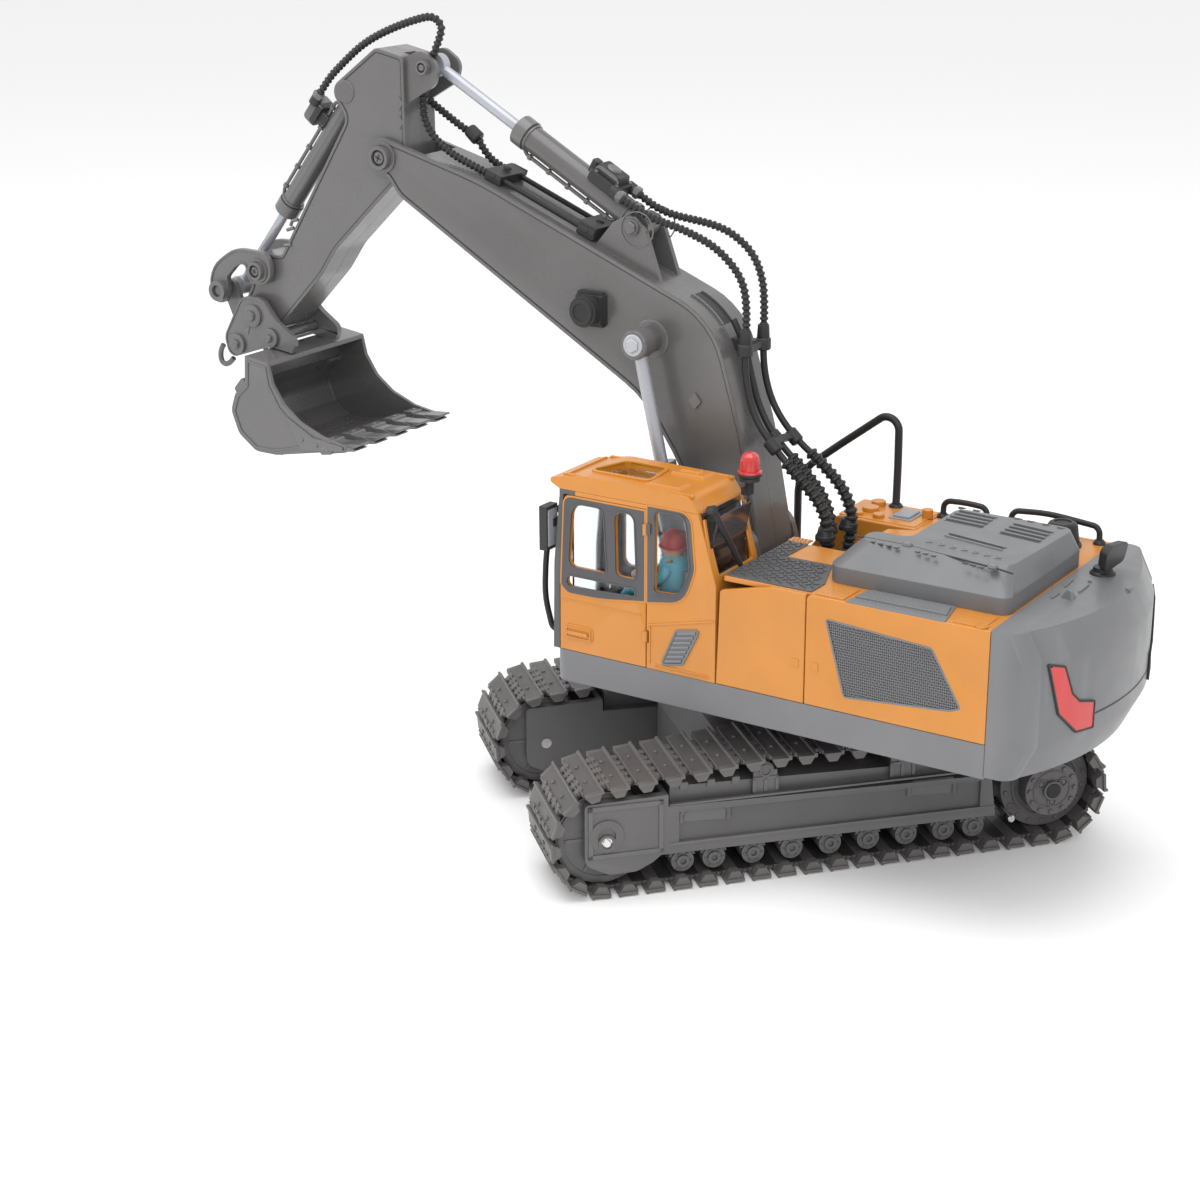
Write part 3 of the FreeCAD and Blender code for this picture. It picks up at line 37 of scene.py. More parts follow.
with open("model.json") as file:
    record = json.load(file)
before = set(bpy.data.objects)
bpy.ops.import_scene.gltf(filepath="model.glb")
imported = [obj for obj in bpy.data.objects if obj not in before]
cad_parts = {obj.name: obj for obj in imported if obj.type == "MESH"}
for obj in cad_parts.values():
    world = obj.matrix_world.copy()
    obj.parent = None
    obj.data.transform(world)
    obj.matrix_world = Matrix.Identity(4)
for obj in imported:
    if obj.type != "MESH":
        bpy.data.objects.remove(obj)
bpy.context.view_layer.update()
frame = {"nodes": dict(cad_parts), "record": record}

SCALE = 0.001
SHARP = math.radians(30)
UP = (0, 0, 1)
BODY_OF = {node: body for body, nodes in frame["record"]["behaviour"]["bodies"].items() for node in nodes}
SLOT_OF = {part["node"]: part["material_slot"] for part in frame["record"]["subparts"]}
collection = bpy.context.scene.collection


def spin(axis, degrees):
    """A turn about the X, Y or Z axis."""
    return Matrix.Rotation(math.radians(degrees), 4, axis)


# ---------------------------------------------------------------- camera, light and floor

CAMERA_PLACE = (-0.3903, 0.7210, 0.3732)
CAMERA_AZIMUTH, CAMERA_ELEVATION = 32.49, 19.6


def add_camera():
    """A long lens behind the cab side, looking a little down."""
    azimuth, elevation = math.radians(CAMERA_AZIMUTH), math.radians(CAMERA_ELEVATION)
    back = Vector((-math.sin(azimuth) * math.cos(elevation), math.cos(azimuth) * math.cos(elevation),
        math.sin(elevation)))
    right = Vector((-math.cos(azimuth), -math.sin(azimuth), 0))
    axes = Matrix((right, back.cross(right), back)).transposed().to_4x4()
    data = bpy.data.cameras.new("camera")
    data.lens, data.sensor_width = 69.5, 36
    data.shift_x, data.shift_y = -0.0241, 0.0005
    data.clip_start, data.clip_end = 0.01, 60
    camera = bpy.data.objects.new("camera", data)
    collection.objects.link(camera)
    camera.matrix_world = Matrix.Translation(CAMERA_PLACE) @ axes
    bpy.context.scene.camera = camera


def area_light(name, place, aim, width, power):
    """A round soft light at a place, turned to a point."""
    data = bpy.data.lights.new(name, "AREA")
    data.shape, data.size, data.energy = "DISK", width, power
    light = bpy.data.objects.new(name, data)
    collection.objects.link(light)
    light.location = place
    light.rotation_euler = (Vector(aim) - Vector(place)).to_track_quat("-Z", "Y").to_euler()


def add_studio():
    """An even white surround, three soft lights and a plain pale floor."""
    world = bpy.data.worlds.new("studio")
    bpy.context.scene.world = world
    world.use_nodes = True
    background = world.node_tree.nodes["Background"]
    background.inputs["Color"].default_value = (1, 1, 1, 1)
    background.inputs["Strength"].default_value = 0.95
    area_light("overhead", (0.1, 0.2, 1.3), (0.03, 0, 0.1), 1.2, 9)
    area_light("key", (-0.9, 1.2, 0.95), (0.05, 0, 0.12), 0.8, 7)
    area_light("side", (1.3, 0.9, 0.7), (0.1, 0, 0.12), 0.7, 4)
    floor = bmesh.new()
    bmesh.ops.create_circle(floor, cap_ends=True, segments=96, radius=25)
    mesh = bpy.data.meshes.new("floor")
    floor.to_mesh(mesh)
    floor.free()
    plate = bpy.data.objects.new("floor", mesh)
    collection.objects.link(plate)
    material = bpy.data.materials.new("floor_white")
    material.use_nodes = True
    shader = material.node_tree.nodes["Principled BSDF"]
    shader.inputs["Base Color"].default_value = (0.92, 0.92, 0.92, 1)
    shader.inputs["Roughness"].default_value = 0.7
    mesh.materials.append(material)
    bpy.context.scene.view_settings.view_transform = "Standard"


add_camera()
add_studio()


# ---------------------------------------------------------------- materials

PATCH_SCALE, GLOSS_SCALE = 45, 110
GLOSS_SPREAD = 0.06
GRAIN_DEPTH = 0.00012
# how much paler the painted edge highlight makes a colour
PAINTED_EDGE_HIGHLIGHT = 0.25
BLACK_SPECULAR = 0.28


def plastic(name, colour, rough=0.4, grain=0.3, grain_size=0.35, mottle=0.06, metal=0.0, edge=0.12,
        coat=0.0, clear=0.0):
    """Moulded plastic: slight mottling, a fine eroded grain, softer gloss in patches, and paler edges that
    are a painted highlight.
    """
    material = bpy.data.materials.new(name)
    material.use_nodes = True
    tree = material.node_tree
    nodes, links = tree.nodes, tree.links
    shader = nodes["Principled BSDF"]
    place = nodes.new("ShaderNodeTexCoord")

    def noise(scale, detail):
        node = nodes.new("ShaderNodeTexNoise")
        node.inputs["Scale"].default_value = scale
        node.inputs["Detail"].default_value = detail
        links.new(place.outputs["Object"], node.inputs["Vector"])
        return node

    def remap(source, low, high, low_in=0.25, high_in=0.75):
        node = nodes.new("ShaderNodeMapRange")
        node.inputs["From Min"].default_value, node.inputs["From Max"].default_value = low_in, high_in
        node.inputs["To Min"].default_value, node.inputs["To Max"].default_value = low, high
        links.new(source, node.inputs["Value"])
        return node

    patches = noise(PATCH_SCALE, 4)
    ramp = nodes.new("ShaderNodeValToRGB")
    for element, part, shade in zip(ramp.color_ramp.elements, (0.3, 0.7), (1 - mottle, 1 + mottle)):
        element.position = part
        element.color = [min(1, channel * shade) for channel in colour] + [1]
    links.new(patches.outputs["Fac"], ramp.inputs["Fac"])
    tone = ramp.outputs["Color"]
    # painted highlight: convex edges, found by pointiness, are mixed towards a paler colour by up to edge
    if edge:
        form = nodes.new("ShaderNodeNewGeometry")
        edge_highlight = remap(form.outputs["Pointiness"], 0, edge, 0.505, 0.56)
        edge_highlight.clamp = True
        mix = nodes.new("ShaderNodeMix")
        mix.data_type = "RGBA"
        # a Mix node has its two colours on inputs 6 and 7 and its result on output 2
        links.new(edge_highlight.outputs["Result"], mix.inputs["Factor"])
        links.new(tone, mix.inputs[6])
        mix.inputs[7].default_value = [min(1, PAINTED_EDGE_HIGHLIGHT + channel) for channel in colour] + [1]
        tone = mix.outputs[2]
    links.new(tone, shader.inputs["Base Color"])
    gloss = remap(noise(GLOSS_SCALE, 3).outputs["Fac"], max(0.03, rough - GLOSS_SPREAD),
        min(1, rough + GLOSS_SPREAD))
    links.new(gloss.outputs["Result"], shader.inputs["Roughness"])
    bump = nodes.new("ShaderNodeBump")
    bump.inputs["Strength"].default_value = grain
    bump.inputs["Distance"].default_value = GRAIN_DEPTH
    links.new(noise(1000 / grain_size, 2).outputs["Fac"], bump.inputs["Height"])
    links.new(bump.outputs["Normal"], shader.inputs["Normal"])
    shader.inputs["Metallic"].default_value = metal
    if coat:
        shader.inputs["Coat Weight"].default_value = coat
        shader.inputs["Coat Roughness"].default_value = 0.12
    if clear:
        shader.inputs["Transmission Weight"].default_value = clear
    return material


def glass(name):
    """Clear plastic for the window panes."""
    material = plastic(name, (0.93, 0.96, 0.98), rough=0.07, grain=0.05, mottle=0.01, edge=0.0, clear=1.0)
    material.node_tree.nodes["Principled BSDF"].inputs["IOR"].default_value = 1.3
    return material


# edge sets how strong the painted edge highlight is
PLASTICS = {
    "smoked_plastic": dict(colour=(0.035, 0.02, 0.022), rough=0.08, grain=0.05, coat=0.6),
    "body_orange": dict(colour=(0.5, 0.178, 0.002), rough=0.33, grain=0.12, edge=0.12, coat=0.12),
    "body_grey": dict(colour=(0.125, 0.127, 0.132), rough=0.4, grain=0.3, coat=0.1),
    "arm_grey": dict(colour=(0.088, 0.085, 0.084), rough=0.3, grain=0.16, coat=0.3),
    "undercarriage_plastic": dict(colour=(0.078, 0.075, 0.076), rough=0.42, grain=0.3),
    "track_plastic": dict(colour=(0.074, 0.067, 0.066), rough=0.42, grain=0.4, mottle=0.12),
    "sprocket_plastic": dict(colour=(0.075, 0.071, 0.070), rough=0.48, grain=0.3),
    "pin_steel": dict(colour=(0.62, 0.61, 0.60), rough=0.28, grain=0.1, metal=1.0),
    "motor_metal": dict(colour=(0.55, 0.55, 0.56), rough=0.3, grain=0.1, metal=1.0),
    "gear_nylon": dict(colour=(0.78, 0.77, 0.71), rough=0.5, grain=0.15),
    "black_plastic": dict(colour=(0.018, 0.018, 0.019), rough=0.42, grain=0.25, edge=0.06),
    "board_green": dict(colour=(0.02, 0.13, 0.05), rough=0.35),
    "battery_wrap": dict(colour=(0.04, 0.1, 0.33), rough=0.3),
    "cab_dark_grey": dict(colour=(0.052, 0.052, 0.056), rough=0.42, grain=0.3),
    "interior_plastic": dict(colour=(0.075, 0.075, 0.08), rough=0.55, grain=0.3),
    "driver_blue": dict(colour=(0.12, 0.6, 0.74), rough=0.5, grain=0.2),
    "driver_red": dict(colour=(0.55, 0.02, 0.02), rough=0.4, grain=0.1),
    "driver_skin": dict(colour=(0.72, 0.42, 0.28), rough=0.5, grain=0.1),
    "red_lens": dict(colour=(0.5, 0.012, 0.012), rough=0.15, grain=0.08, coat=0.4),
    "button_grey": dict(colour=(0.22, 0.235, 0.26), rough=0.45, grain=0.3),
    "hose_black": dict(colour=(0.017, 0.017, 0.018), rough=0.38, grain=0.2, edge=0.05),
    "silver_plastic": dict(colour=(0.36, 0.375, 0.41), rough=0.3, grain=0.15, metal=0.35, coat=0.2),
}
MATERIAL = {name: plastic(name, **look) for name, look in PLASTICS.items()}
MATERIAL["clear_plastic"] = glass("clear_plastic")
for name in ("black_plastic", "hose_black"):
    # the two blacks reflect less of the white surround than the other plastics
    shader = MATERIAL[name].node_tree.nodes["Principled BSDF"]
    shader.inputs["Specular IOR Level"].default_value = BLACK_SPECULAR
# the second of these, black, is painted shade in the recesses of pin heads
ARM_GREY_AND_RECESS_SHADE = [MATERIAL["arm_grey"], MATERIAL["black_plastic"]]


# ---------------------------------------------------------------- mesh building

def arc_points(points, steps=6):
    """A closed outline with each corner that has a third value rounded to that radius."""
    result = []
    for index, point in enumerate(points):
        here = Vector(point[:2])
        if len(point) < 3:
            result.append(here)
            continue
        before = (Vector(points[index - 1][:2]) - here).normalized()
        after = (Vector(points[(index + 1) % len(points)][:2]) - here).normalized()
        half = before.angle(after) / 2
        reach = point[2] / math.tan(half)
        centre = here + (before + after).normalized() * (point[2] / math.sin(half))
        first, last = here + before * reach - centre, here + after * reach - centre
        turn = first.angle_signed(last)
        count = max(2, int(steps * abs(turn) / (math.pi / 2) + 0.5))
        for step in range(count + 1):
            result.append(centre + Matrix.Rotation(-turn * step / count, 2) @ first)
    return [(p.x, p.y) for p in result]


def offset(flat, distance):
    """A closed outline moved inwards by a distance, its corners mitred."""
    area = sum(a[0] * b[1] - b[0] * a[1] for a, b in zip(flat, flat[1:] + flat[:1]))
    sign = 1 if area > 0 else -1
    result = []
    for index, here in enumerate(flat):
        before = (Vector(here) - Vector(flat[index - 1])).normalized()
        after = (Vector(flat[(index + 1) % len(flat)]) - Vector(here)).normalized()
        first, last = Vector((-before.y, before.x)) * sign, Vector((-after.y, after.x)) * sign
        moved = Vector(here) + (first + last) * (distance / max(0.4, 1 + first.dot(last)))
        result.append((moved.x, moved.y))
    return result


def oblong(x0, y0, x1, y1, corner=None):
    """A rectangle's outline, its corners rounded to a radius where one is given."""
    rounding = () if corner is None else (corner,)
    return [(x, y, *rounding) for x, y in ((x0, y0), (x1, y0), (x1, y1), (x0, y1))]


def at_level(pairs, level, axis):
    """Flat points put at a level along an axis."""
    if axis == "y":
        return [(a, level, b) for a, b in pairs]
    if axis == "z":
        return [(a, b, level) for a, b in pairs]
    return [(level, a, b) for a, b in pairs]


def circle(middle, side, other, radius, sides, turn=0.0):
    """Points evenly round a circle that lies in the plane of side and other."""
    angles = [2 * math.pi * step / sides + turn for step in range(sides)]
    return [middle + (side * math.cos(a) + other * math.sin(a)) * radius for a in angles]


def band_faces(count):
    """Faces joining four closed rows of points, each of count points, into one closed band."""
    faces = []
    for row in range(4):
        near, far = row * count, (row + 1) % 4 * count
        faces += [(near + i, near + (i + 1) % count, far + (i + 1) % count, far + i) for i in range(count)]
    return faces


class Form:
    """Collects shapes, in millimetres, into one mesh."""

    def __init__(self, place=None):
        self.bm = bmesh.new()
        self.place = place or Matrix.Identity(4)
        self.slot = 0

    def add(self, points, faces):
        """Adds points and the faces between them, in the form's own place and material slot."""
        vertices = [self.bm.verts.new(self.place @ Vector(p)) for p in points]
        for face in faces:
            made = self.bm.faces.new([vertices[i] for i in face])
            made.material_index = self.slot
        return vertices

    def prism(self, outline, low, high, axis="y", top=1.0, centre=None):
        """A closed outline pushed from low to high along an axis; top scales the far end about centre."""
        flat = arc_points(outline)
        if centre is None:
            centre = (sum(p[0] for p in flat) / len(flat), sum(p[1] for p in flat) / len(flat))
        far = [(centre[0] + (a - centre[0]) * top, centre[1] + (b - centre[1]) * top) for a, b in flat]
        count = len(flat)
        faces = [tuple(range(count)), tuple(range(2 * count - 1, count - 1, -1))]
        faces += [(i, (i + 1) % count, count + (i + 1) % count, count + i) for i in range(count)]
        self.add(at_level(flat, low, axis) + at_level(far, high, axis), faces)

    def box(self, low, high):
        """An upright block between two corners."""
        self.prism(oblong(low[0], low[1], high[0], high[1]), low[2], high[2], axis="z")

    def lathe(self, centre, axis, profile, sides=32, turn=0.0):
        """A profile of (along, radius) turned about an axis through centre; a radius of 0 closes an end."""
        direction = Vector(axis).normalized()
        upright = abs(direction.z) > 0.99
        side = (direction.orthogonal() if upright else direction.cross(UP)).normalized()
        other = direction.cross(side)
        points, rows = [], []
        for along, radius in profile:
            middle = Vector(centre) + direction * along
            made = circle(middle, side, other, radius, sides, turn) if radius else [middle]
            rows.append(range(len(points), len(points) + len(made)))
            points += made
        faces = []
        for near, far in zip(rows, rows[1:]):
            for step in range(sides):
                following = (step + 1) % sides
                if len(near) == 1:
                    faces.append((near[0], far[step], far[following]))
                elif len(far) == 1:
                    faces.append((near[step], near[following], far[0]))
                else:
                    faces.append((near[step], near[following], far[following], far[step]))
        for row in (rows[0], rows[-1]):
            if len(row) > 1:
                faces.append(tuple(row))
        self.add(points, faces)

    def border(self, flat, width, low, high, axis="y"):
        """A closed strip along the inside of an outline."""
        inner = offset(flat, width)
        count = len(flat)
        points = at_level(flat, low, axis) + at_level(flat, high, axis) + at_level(inner, high,
            axis) + at_level(inner, low, axis)
        self.add(points, band_faces(count))

    def beam(self, start, end, width, height, up, sunk=0.3):
        """A straight bar lying on a surface whose outward side is up."""
        start, end, up = Vector(start), Vector(end), Vector(up).normalized()
        across = (end - start).cross(up).normalized() * (width / 2)
        corners = ((-1, -sunk), (1, -sunk), (1, height), (-1, height))
        self.add([p + across * a + up * h for p in (start, end) for a, h in corners],
            [(0, 1, 2, 3), (4, 5, 6, 7), (0, 1, 5, 4), (1, 2, 6, 5), (2, 3, 7, 6), (3, 0, 4, 7)])

    def plate(self, outline, holes, low, high):
        """A flat plate in X and Z with holes through it."""
        data = bpy.data.curves.new("plate", "CURVE")
        data.dimensions, data.fill_mode, data.extrude = "2D", "BOTH", (high - low) / 2
        for loop in [outline] + holes:
            flat = arc_points(loop)
            line = data.splines.new("POLY")
            line.points.add(len(flat) - 1)
            for target, (a, b) in zip(line.points, flat):
                target.co = (a, b, 0, 1)
            line.use_cyclic_u = True
        carrier = bpy.data.objects.new("plate", data)
        mesh = bpy.data.meshes.new_from_object(carrier)
        middle = (low + high) / 2
        made = self.add([(v.co.x, middle + v.co.z, v.co.y) for v in mesh.vertices],
            [tuple(face.vertices) for face in mesh.polygons])
        bmesh.ops.remove_doubles(self.bm, verts=made, dist=1e-4)
        bpy.data.objects.remove(carrier)
        bpy.data.curves.remove(data)
        bpy.data.meshes.remove(mesh)

    def ring(self, centre, axis, inner, outer, low, high, sides=28):
        """A flat ring with a square section."""
        direction = Vector(axis).normalized()
        side = direction.orthogonal().normalized()
        other = direction.cross(side)
        points = []
        for level, radius in ((low, inner), (low, outer), (high, outer), (high, inner)):
            points += circle(Vector(centre) + direction * level, side, other, radius, sides)
        self.add(points, band_faces(sides))

    def rod(self, start, end, radius, sides=20, crown=0.0):
        """A round bar, its ends crowned or flat."""
        length = (Vector(end) - Vector(start)).length
        profile = [(0, radius), (length, radius)]
        if crown:
            profile = [(0, radius - crown), (crown, radius), (length - crown, radius),
                (length, radius - crown)]
        self.lathe(start, Vector(end) - Vector(start), profile, sides)

    def bolt(self, centre, axis, across=3.0, height=1.2, washer=0.0):
        """A hexagon head with a chamfered top, on a washer or not."""
        radius = across / math.sqrt(3)
        base = 0.0
        if washer:
            self.lathe(centre, axis, [(-0.3, washer), (0.35, washer), (0.5, washer - 0.25)], 24)
            base = 0.4
        self.lathe(centre, axis, [(base - 0.4, radius), (base + height - 0.35, radius),
            (base + height, radius * 0.8)], 6, turn=math.pi / 6)

    def ribbed(self, path, core, rib, pitch):
        """A hose along a path, with a ring standing out of it at each pitch."""
        samples = resample(path, pitch / 4)
        radii = [(core, rib, rib, core)[i % 4] for i in range(len(samples))]
        self.tube(samples, radii, 10)

    def tube(self, path, radii, sides=12):
        """A round bar along a path, of one radius or one for each point."""
        if not hasattr(radii, "__len__"):
            radii = [radii] * len(path)
        side = None
        points, rows = [], []
        for index, point in enumerate(path):
            ahead = path[min(index + 1, len(path) - 1)] - path[max(index - 1, 0)]
            ahead.normalize()
            if side is None:
                side = ahead.orthogonal().normalized()
            side = (side - ahead * side.dot(ahead)).normalized()
            other = ahead.cross(side)
            rows.append(range(len(points), len(points) + sides))
            points += circle(point, side, other, radii[index], sides)
        faces = [tuple(rows[0]), tuple(rows[-1])]
        for near, far in zip(rows, rows[1:]):
            faces += [(near[i], near[(i + 1) % sides], far[(i + 1) % sides], far[i]) for i in range(sides)]
        self.add(points, faces)

    def done(self, name, body, slot, bevel=0.25, replaces=(), materials=None, smooth=SHARP, blend=None):
        """Makes the object: edges sharper than 30 degrees are bevelled, or kept crisp where bevel is 0."""
        bm = self.bm
        bmesh.ops.scale(bm, vec=(SCALE,) * 3, verts=bm.verts)
        bmesh.ops.recalc_face_normals(bm, faces=bm.faces)
        for face in bm.faces:
            face.smooth = True
        if not bevel:
            for edge in bm.edges:
                edge.smooth = edge.calc_face_angle(0) < smooth
        mesh = bpy.data.meshes.new(name)
        bm.to_mesh(mesh)
        bm.free()
        obj = bpy.data.objects.new(name, mesh)
        collection.objects.link(obj)
        for material in materials or [MATERIAL[slot]]:
            mesh.materials.append(material)
        if bevel:
            round_edges(obj, bevel)
        if blend:
            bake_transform(obj)
        else:
            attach(obj, body)
        if replaces:
            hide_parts(*replaces)
        return obj


def round_edges(obj, width, segments=2):
    """Bevels the edges that are sharper than 30 degrees."""
    bevel = obj.modifiers.new("rounded_edges", "BEVEL")
    bevel.width, bevel.segments = width * SCALE, segments
    bevel.limit_method, bevel.angle_limit = "ANGLE", SHARP
    weighted = obj.modifiers.new("weighted_normals", "WEIGHTED_NORMAL")
    weighted.keep_sharp = True


def moulded(node, width=0.3, slot=None, name=None, segments=2, without=None):
    """A CAD node's shape with rounded edges, in place of the node; without(point) leaves some of it out."""
    source = frame["nodes"][node]
    bm = bmesh.new()
    bm.from_mesh(source.data)
    bmesh.ops.remove_doubles(bm, verts=bm.verts, dist=1e-6)
    if without:
        unwanted = [v for v in bm.verts if without(v.co / SCALE)]
        bmesh.ops.delete(bm, geom=unwanted, context="VERTS")
    bmesh.ops.dissolve_limit(bm, angle_limit=math.radians(0.6), verts=bm.verts, edges=bm.edges)
    for face in bm.faces:
        face.smooth = True
        face.material_index = 0
    if not width:
        for edge in bm.edges:
            edge.smooth = edge.calc_face_angle(0) < SHARP
    mesh = bpy.data.meshes.new(name or node + "_shell")
    bm.to_mesh(mesh)
    bm.free()
    if "custom_normal" in mesh.attributes:
        mesh.attributes.remove(mesh.attributes["custom_normal"])
    obj = bpy.data.objects.new(name or node + "_shell", mesh)
    collection.objects.link(obj)
    mesh.materials.append(MATERIAL[slot or SLOT_OF[node]])
    if width:
        round_edges(obj, width, segments)
    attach(obj, BODY_OF[node])
    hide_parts(node)
    return obj


def spline(points):
    """Points along the smooth NURBS line whose control points are given, in millimetres."""
    data = bpy.data.curves.new("route", "CURVE")
    data.dimensions = "3D"
    line = data.splines.new("NURBS")
    line.points.add(len(points) - 1)
    for target, point in zip(line.points, points):
        target.co = (*point, 1)
    line.order_u = 3
    line.use_endpoint_u = True
    line.resolution_u = 16
    carrier = bpy.data.objects.new("route", data)
    mesh = bpy.data.meshes.new_from_object(carrier)
    path = [v.co.copy() for v in mesh.vertices]
    bpy.data.objects.remove(carrier)
    bpy.data.curves.remove(data)
    bpy.data.meshes.remove(mesh)
    return path


def resample(path, step):
    """The same line with points an even distance apart."""
    lengths = [0.0]
    for a, b in zip(path, path[1:]):
        lengths.append(lengths[-1] + (b - a).length)
    count = max(2, round(lengths[-1] / step))
    result, index = [], 0
    for k in range(count + 1):
        wanted = lengths[-1] * k / count
        while index < len(lengths) - 2 and lengths[index + 1] < wanted:
            index += 1
        span = lengths[index + 1] - lengths[index]
        result.append(path[index].lerp(path[index + 1], (wanted - lengths[index]) / span if span else 0))
    return result


# ---------------------------------------------------------------- shells taken from the CAD

for node, width in {
    "centre_frame": 0.5, "base_lid": 0.3, "left_track_frame": 0.35, "right_track_frame": 0.35,
    "track_rollers": 0.3, "left_idler": 0.3, "right_idler": 0.3, "left_sprocket": 0.3,
        "right_sprocket": 0.3,
    "slew_platform": 0.5, "counterweight": 0.9, "left_rear_panel": 0.4, "right_rear_panel": 0.4,
    "left_front_panel": 0.4, "deck_plate": 0.4, "right_side_box": 0.8,
    "cab_shell": 0.4, "cab_front_frame": 0.35, "cab_roof": 0.6, "cab_interior": 0.3,
    "boom_brackets": 0.4, "handrails": 0, "power_button": 0.4,
    "cab_door": 0.35, "boom_left_shell": 0.6, "boom_right_shell": 0.6, "boom_pins": 0.3,
        "boom_fittings": 0.25,
    "stick_left_shell": 0.5, "stick_right_shell": 0.5, "stick_pins": 0.3,
    "boom_cylinder_barrels": 0.3, "boom_cylinder_rods": 0.3, "stick_cylinder_barrel": 0.3,
    "stick_cylinder_rod": 0.3, "bucket_cylinder_barrel": 0.3, "bucket_cylinder_rod": 0.3,
        "bucket_lever": 0.3,
    "bucket_link": 0.3, "bucket": 0.35, "bucket_coupler": 0.4, "coupler_pins": 0.3,
}.items():
    moulded(node, width)
moulded("engine_hood", 3.4, segments=5)
moulded("signal_lenses", 0.4, without=lambda p: p.z > 140)
moulded("cab_fittings", 0.3, without=lambda p: p.x < -110)
moulded("deck_caps", 0.35, without=lambda p: p.x < -85)


# ---------------------------------------------------------------- undercarriage

TRAVEL = spin("Z", 47.63)
TRACK_Y = 45.85
# distances of faces from the middle of the undercarriage
FRAME_FACE, ROLLER_FACE, CARRIER_FACE = TRACK_Y + 16, TRACK_Y + 12.5, TRACK_Y + 13.4
HUB_FACE, HUB_BACK = TRACK_Y + 14.8, TRACK_Y + 8
SHOES = 48
WHEEL_X, WHEEL_Z = 85, 21.1
CARRIER_X, CARRIER_Z = 26, 41.5
ROLLER_Z = 8.84
ROLLERS_X = (56.1, 44.4, 29.7, 15.1, 0.4, -14.3, -29.0, -43.6, -55.4)
SIDES = (("left", 1), ("right", -1))


def belt_line():
    """The outer line of a belt in the travel plane: tangents round two wheels and two carriers."""
    circles = [(-WHEEL_X, WHEEL_Z, WHEEL_Z), (WHEEL_X, WHEEL_Z, WHEEL_Z), (CARRIER_X, CARRIER_Z, 6),
        (-CARRIER_X, CARRIER_Z, 6)]
    turns = []
    for index, (x, z, radius) in enumerate(circles):
        x2, z2, radius2 = circles[(index + 1) % 4]
        heading = math.atan2(z2 - z, x2 - x)
        turns.append(heading - math.pi / 2 + math.asin((radius - radius2) / math.hypot(x2 - x, z2 - z)))
    line = []
    for index, (x, z, radius) in enumerate(circles):
        first, last = turns[index - 1], turns[index]
        while last < first:
            last += 2 * math.pi
        count = max(3, int((last - first) * radius / 1.5))
        line += [Vector((x + radius * math.cos(first + (last - first) * k / count), 0,
            z + radius * math.sin(first + (last - first) * k / count))) for k in range(count + 1)]
    return line + [line[0]]


def add_belts():
    """Two belts of separate shoes, each with bolts, link bars and guide teeth."""
    path = resample(belt_line(), 0.5)
    count = len(path) - 1
    for name, side in SIDES:
        belt = Form()
        for shoe in range(SHOES):
            place = shoe * count / SHOES
            here = path[int(place)]
            ahead = (path[(int(place) + 3) % count] - path[(int(place) - 3) % count]).normalized()
            outward = Vector((ahead.z, 0, -ahead.x))
            axes = Matrix((ahead, (0, 1, 0), outward)).transposed().to_4x4()
            belt.place = TRAVEL @ (Matrix.Translation((here.x, side * TRACK_Y, here.z)) @ axes
                @ Matrix.Diagonal((0.9, 1, 1, 1)))
            belt.slot = 0
            belt.prism([(-4.2, -1.7), (4.2, -1.7), (4.2, -0.1), (3.8, 0), (3.2, 0), (2.8, -0.7),
                (-3.3, -0.7), (-3.6, -0.3), (-4.2, -0.3)], -15.6, 15.6)
            for end in (-1, 1):
                belt.prism([(-3.6, -1.7), (4.2, -1.7), (4.2, -0.1), (3.8, 0), (3.2, 0), (2.8, -0.7),
                    (-3.6, -0.7)], end * 15.6, end * 18)
                belt.lathe((-0.3, end * 6.4, -0.8), UP, [(0, 0.95), (0.55, 0.85), (0.75, 0.4)], 12)
                belt.prism([(-3.6, -1.6), (3.6, -1.6), (1.7, -4.4), (-1.7, -4.4)], end * 13.4, end * 17.2)
                for low, high in ((3.6, 6.4), (8.8, 11.6)):
                    belt.box((3.2, min(end * low, end * high), -2.7),
                        (8.2, max(end * low, end * high), -1.2))
            belt.box((-4.0, -12.5, -2.9), (4.0, 12.5, -1.6))
            belt.box((3.4, -1.6, -2.4), (8.0, 1.6, -0.9))
            belt.rod((5.6, -12.2, -2.0), (5.6, 12.2, -2.0), 0.75, 10)
            # painted shade: a black plate under the links, dark in the gaps between shoes
            belt.slot = 1
            belt.box((2.6, -12.4, -3.0), (8.6, 12.4, -2.6))
        belt.done(name + "_shoes", "root", "track_plastic", bevel=0.14, replaces=(name + "_track_belt",),
            materials=[MATERIAL["track_plastic"], MATERIAL["black_plastic"]])


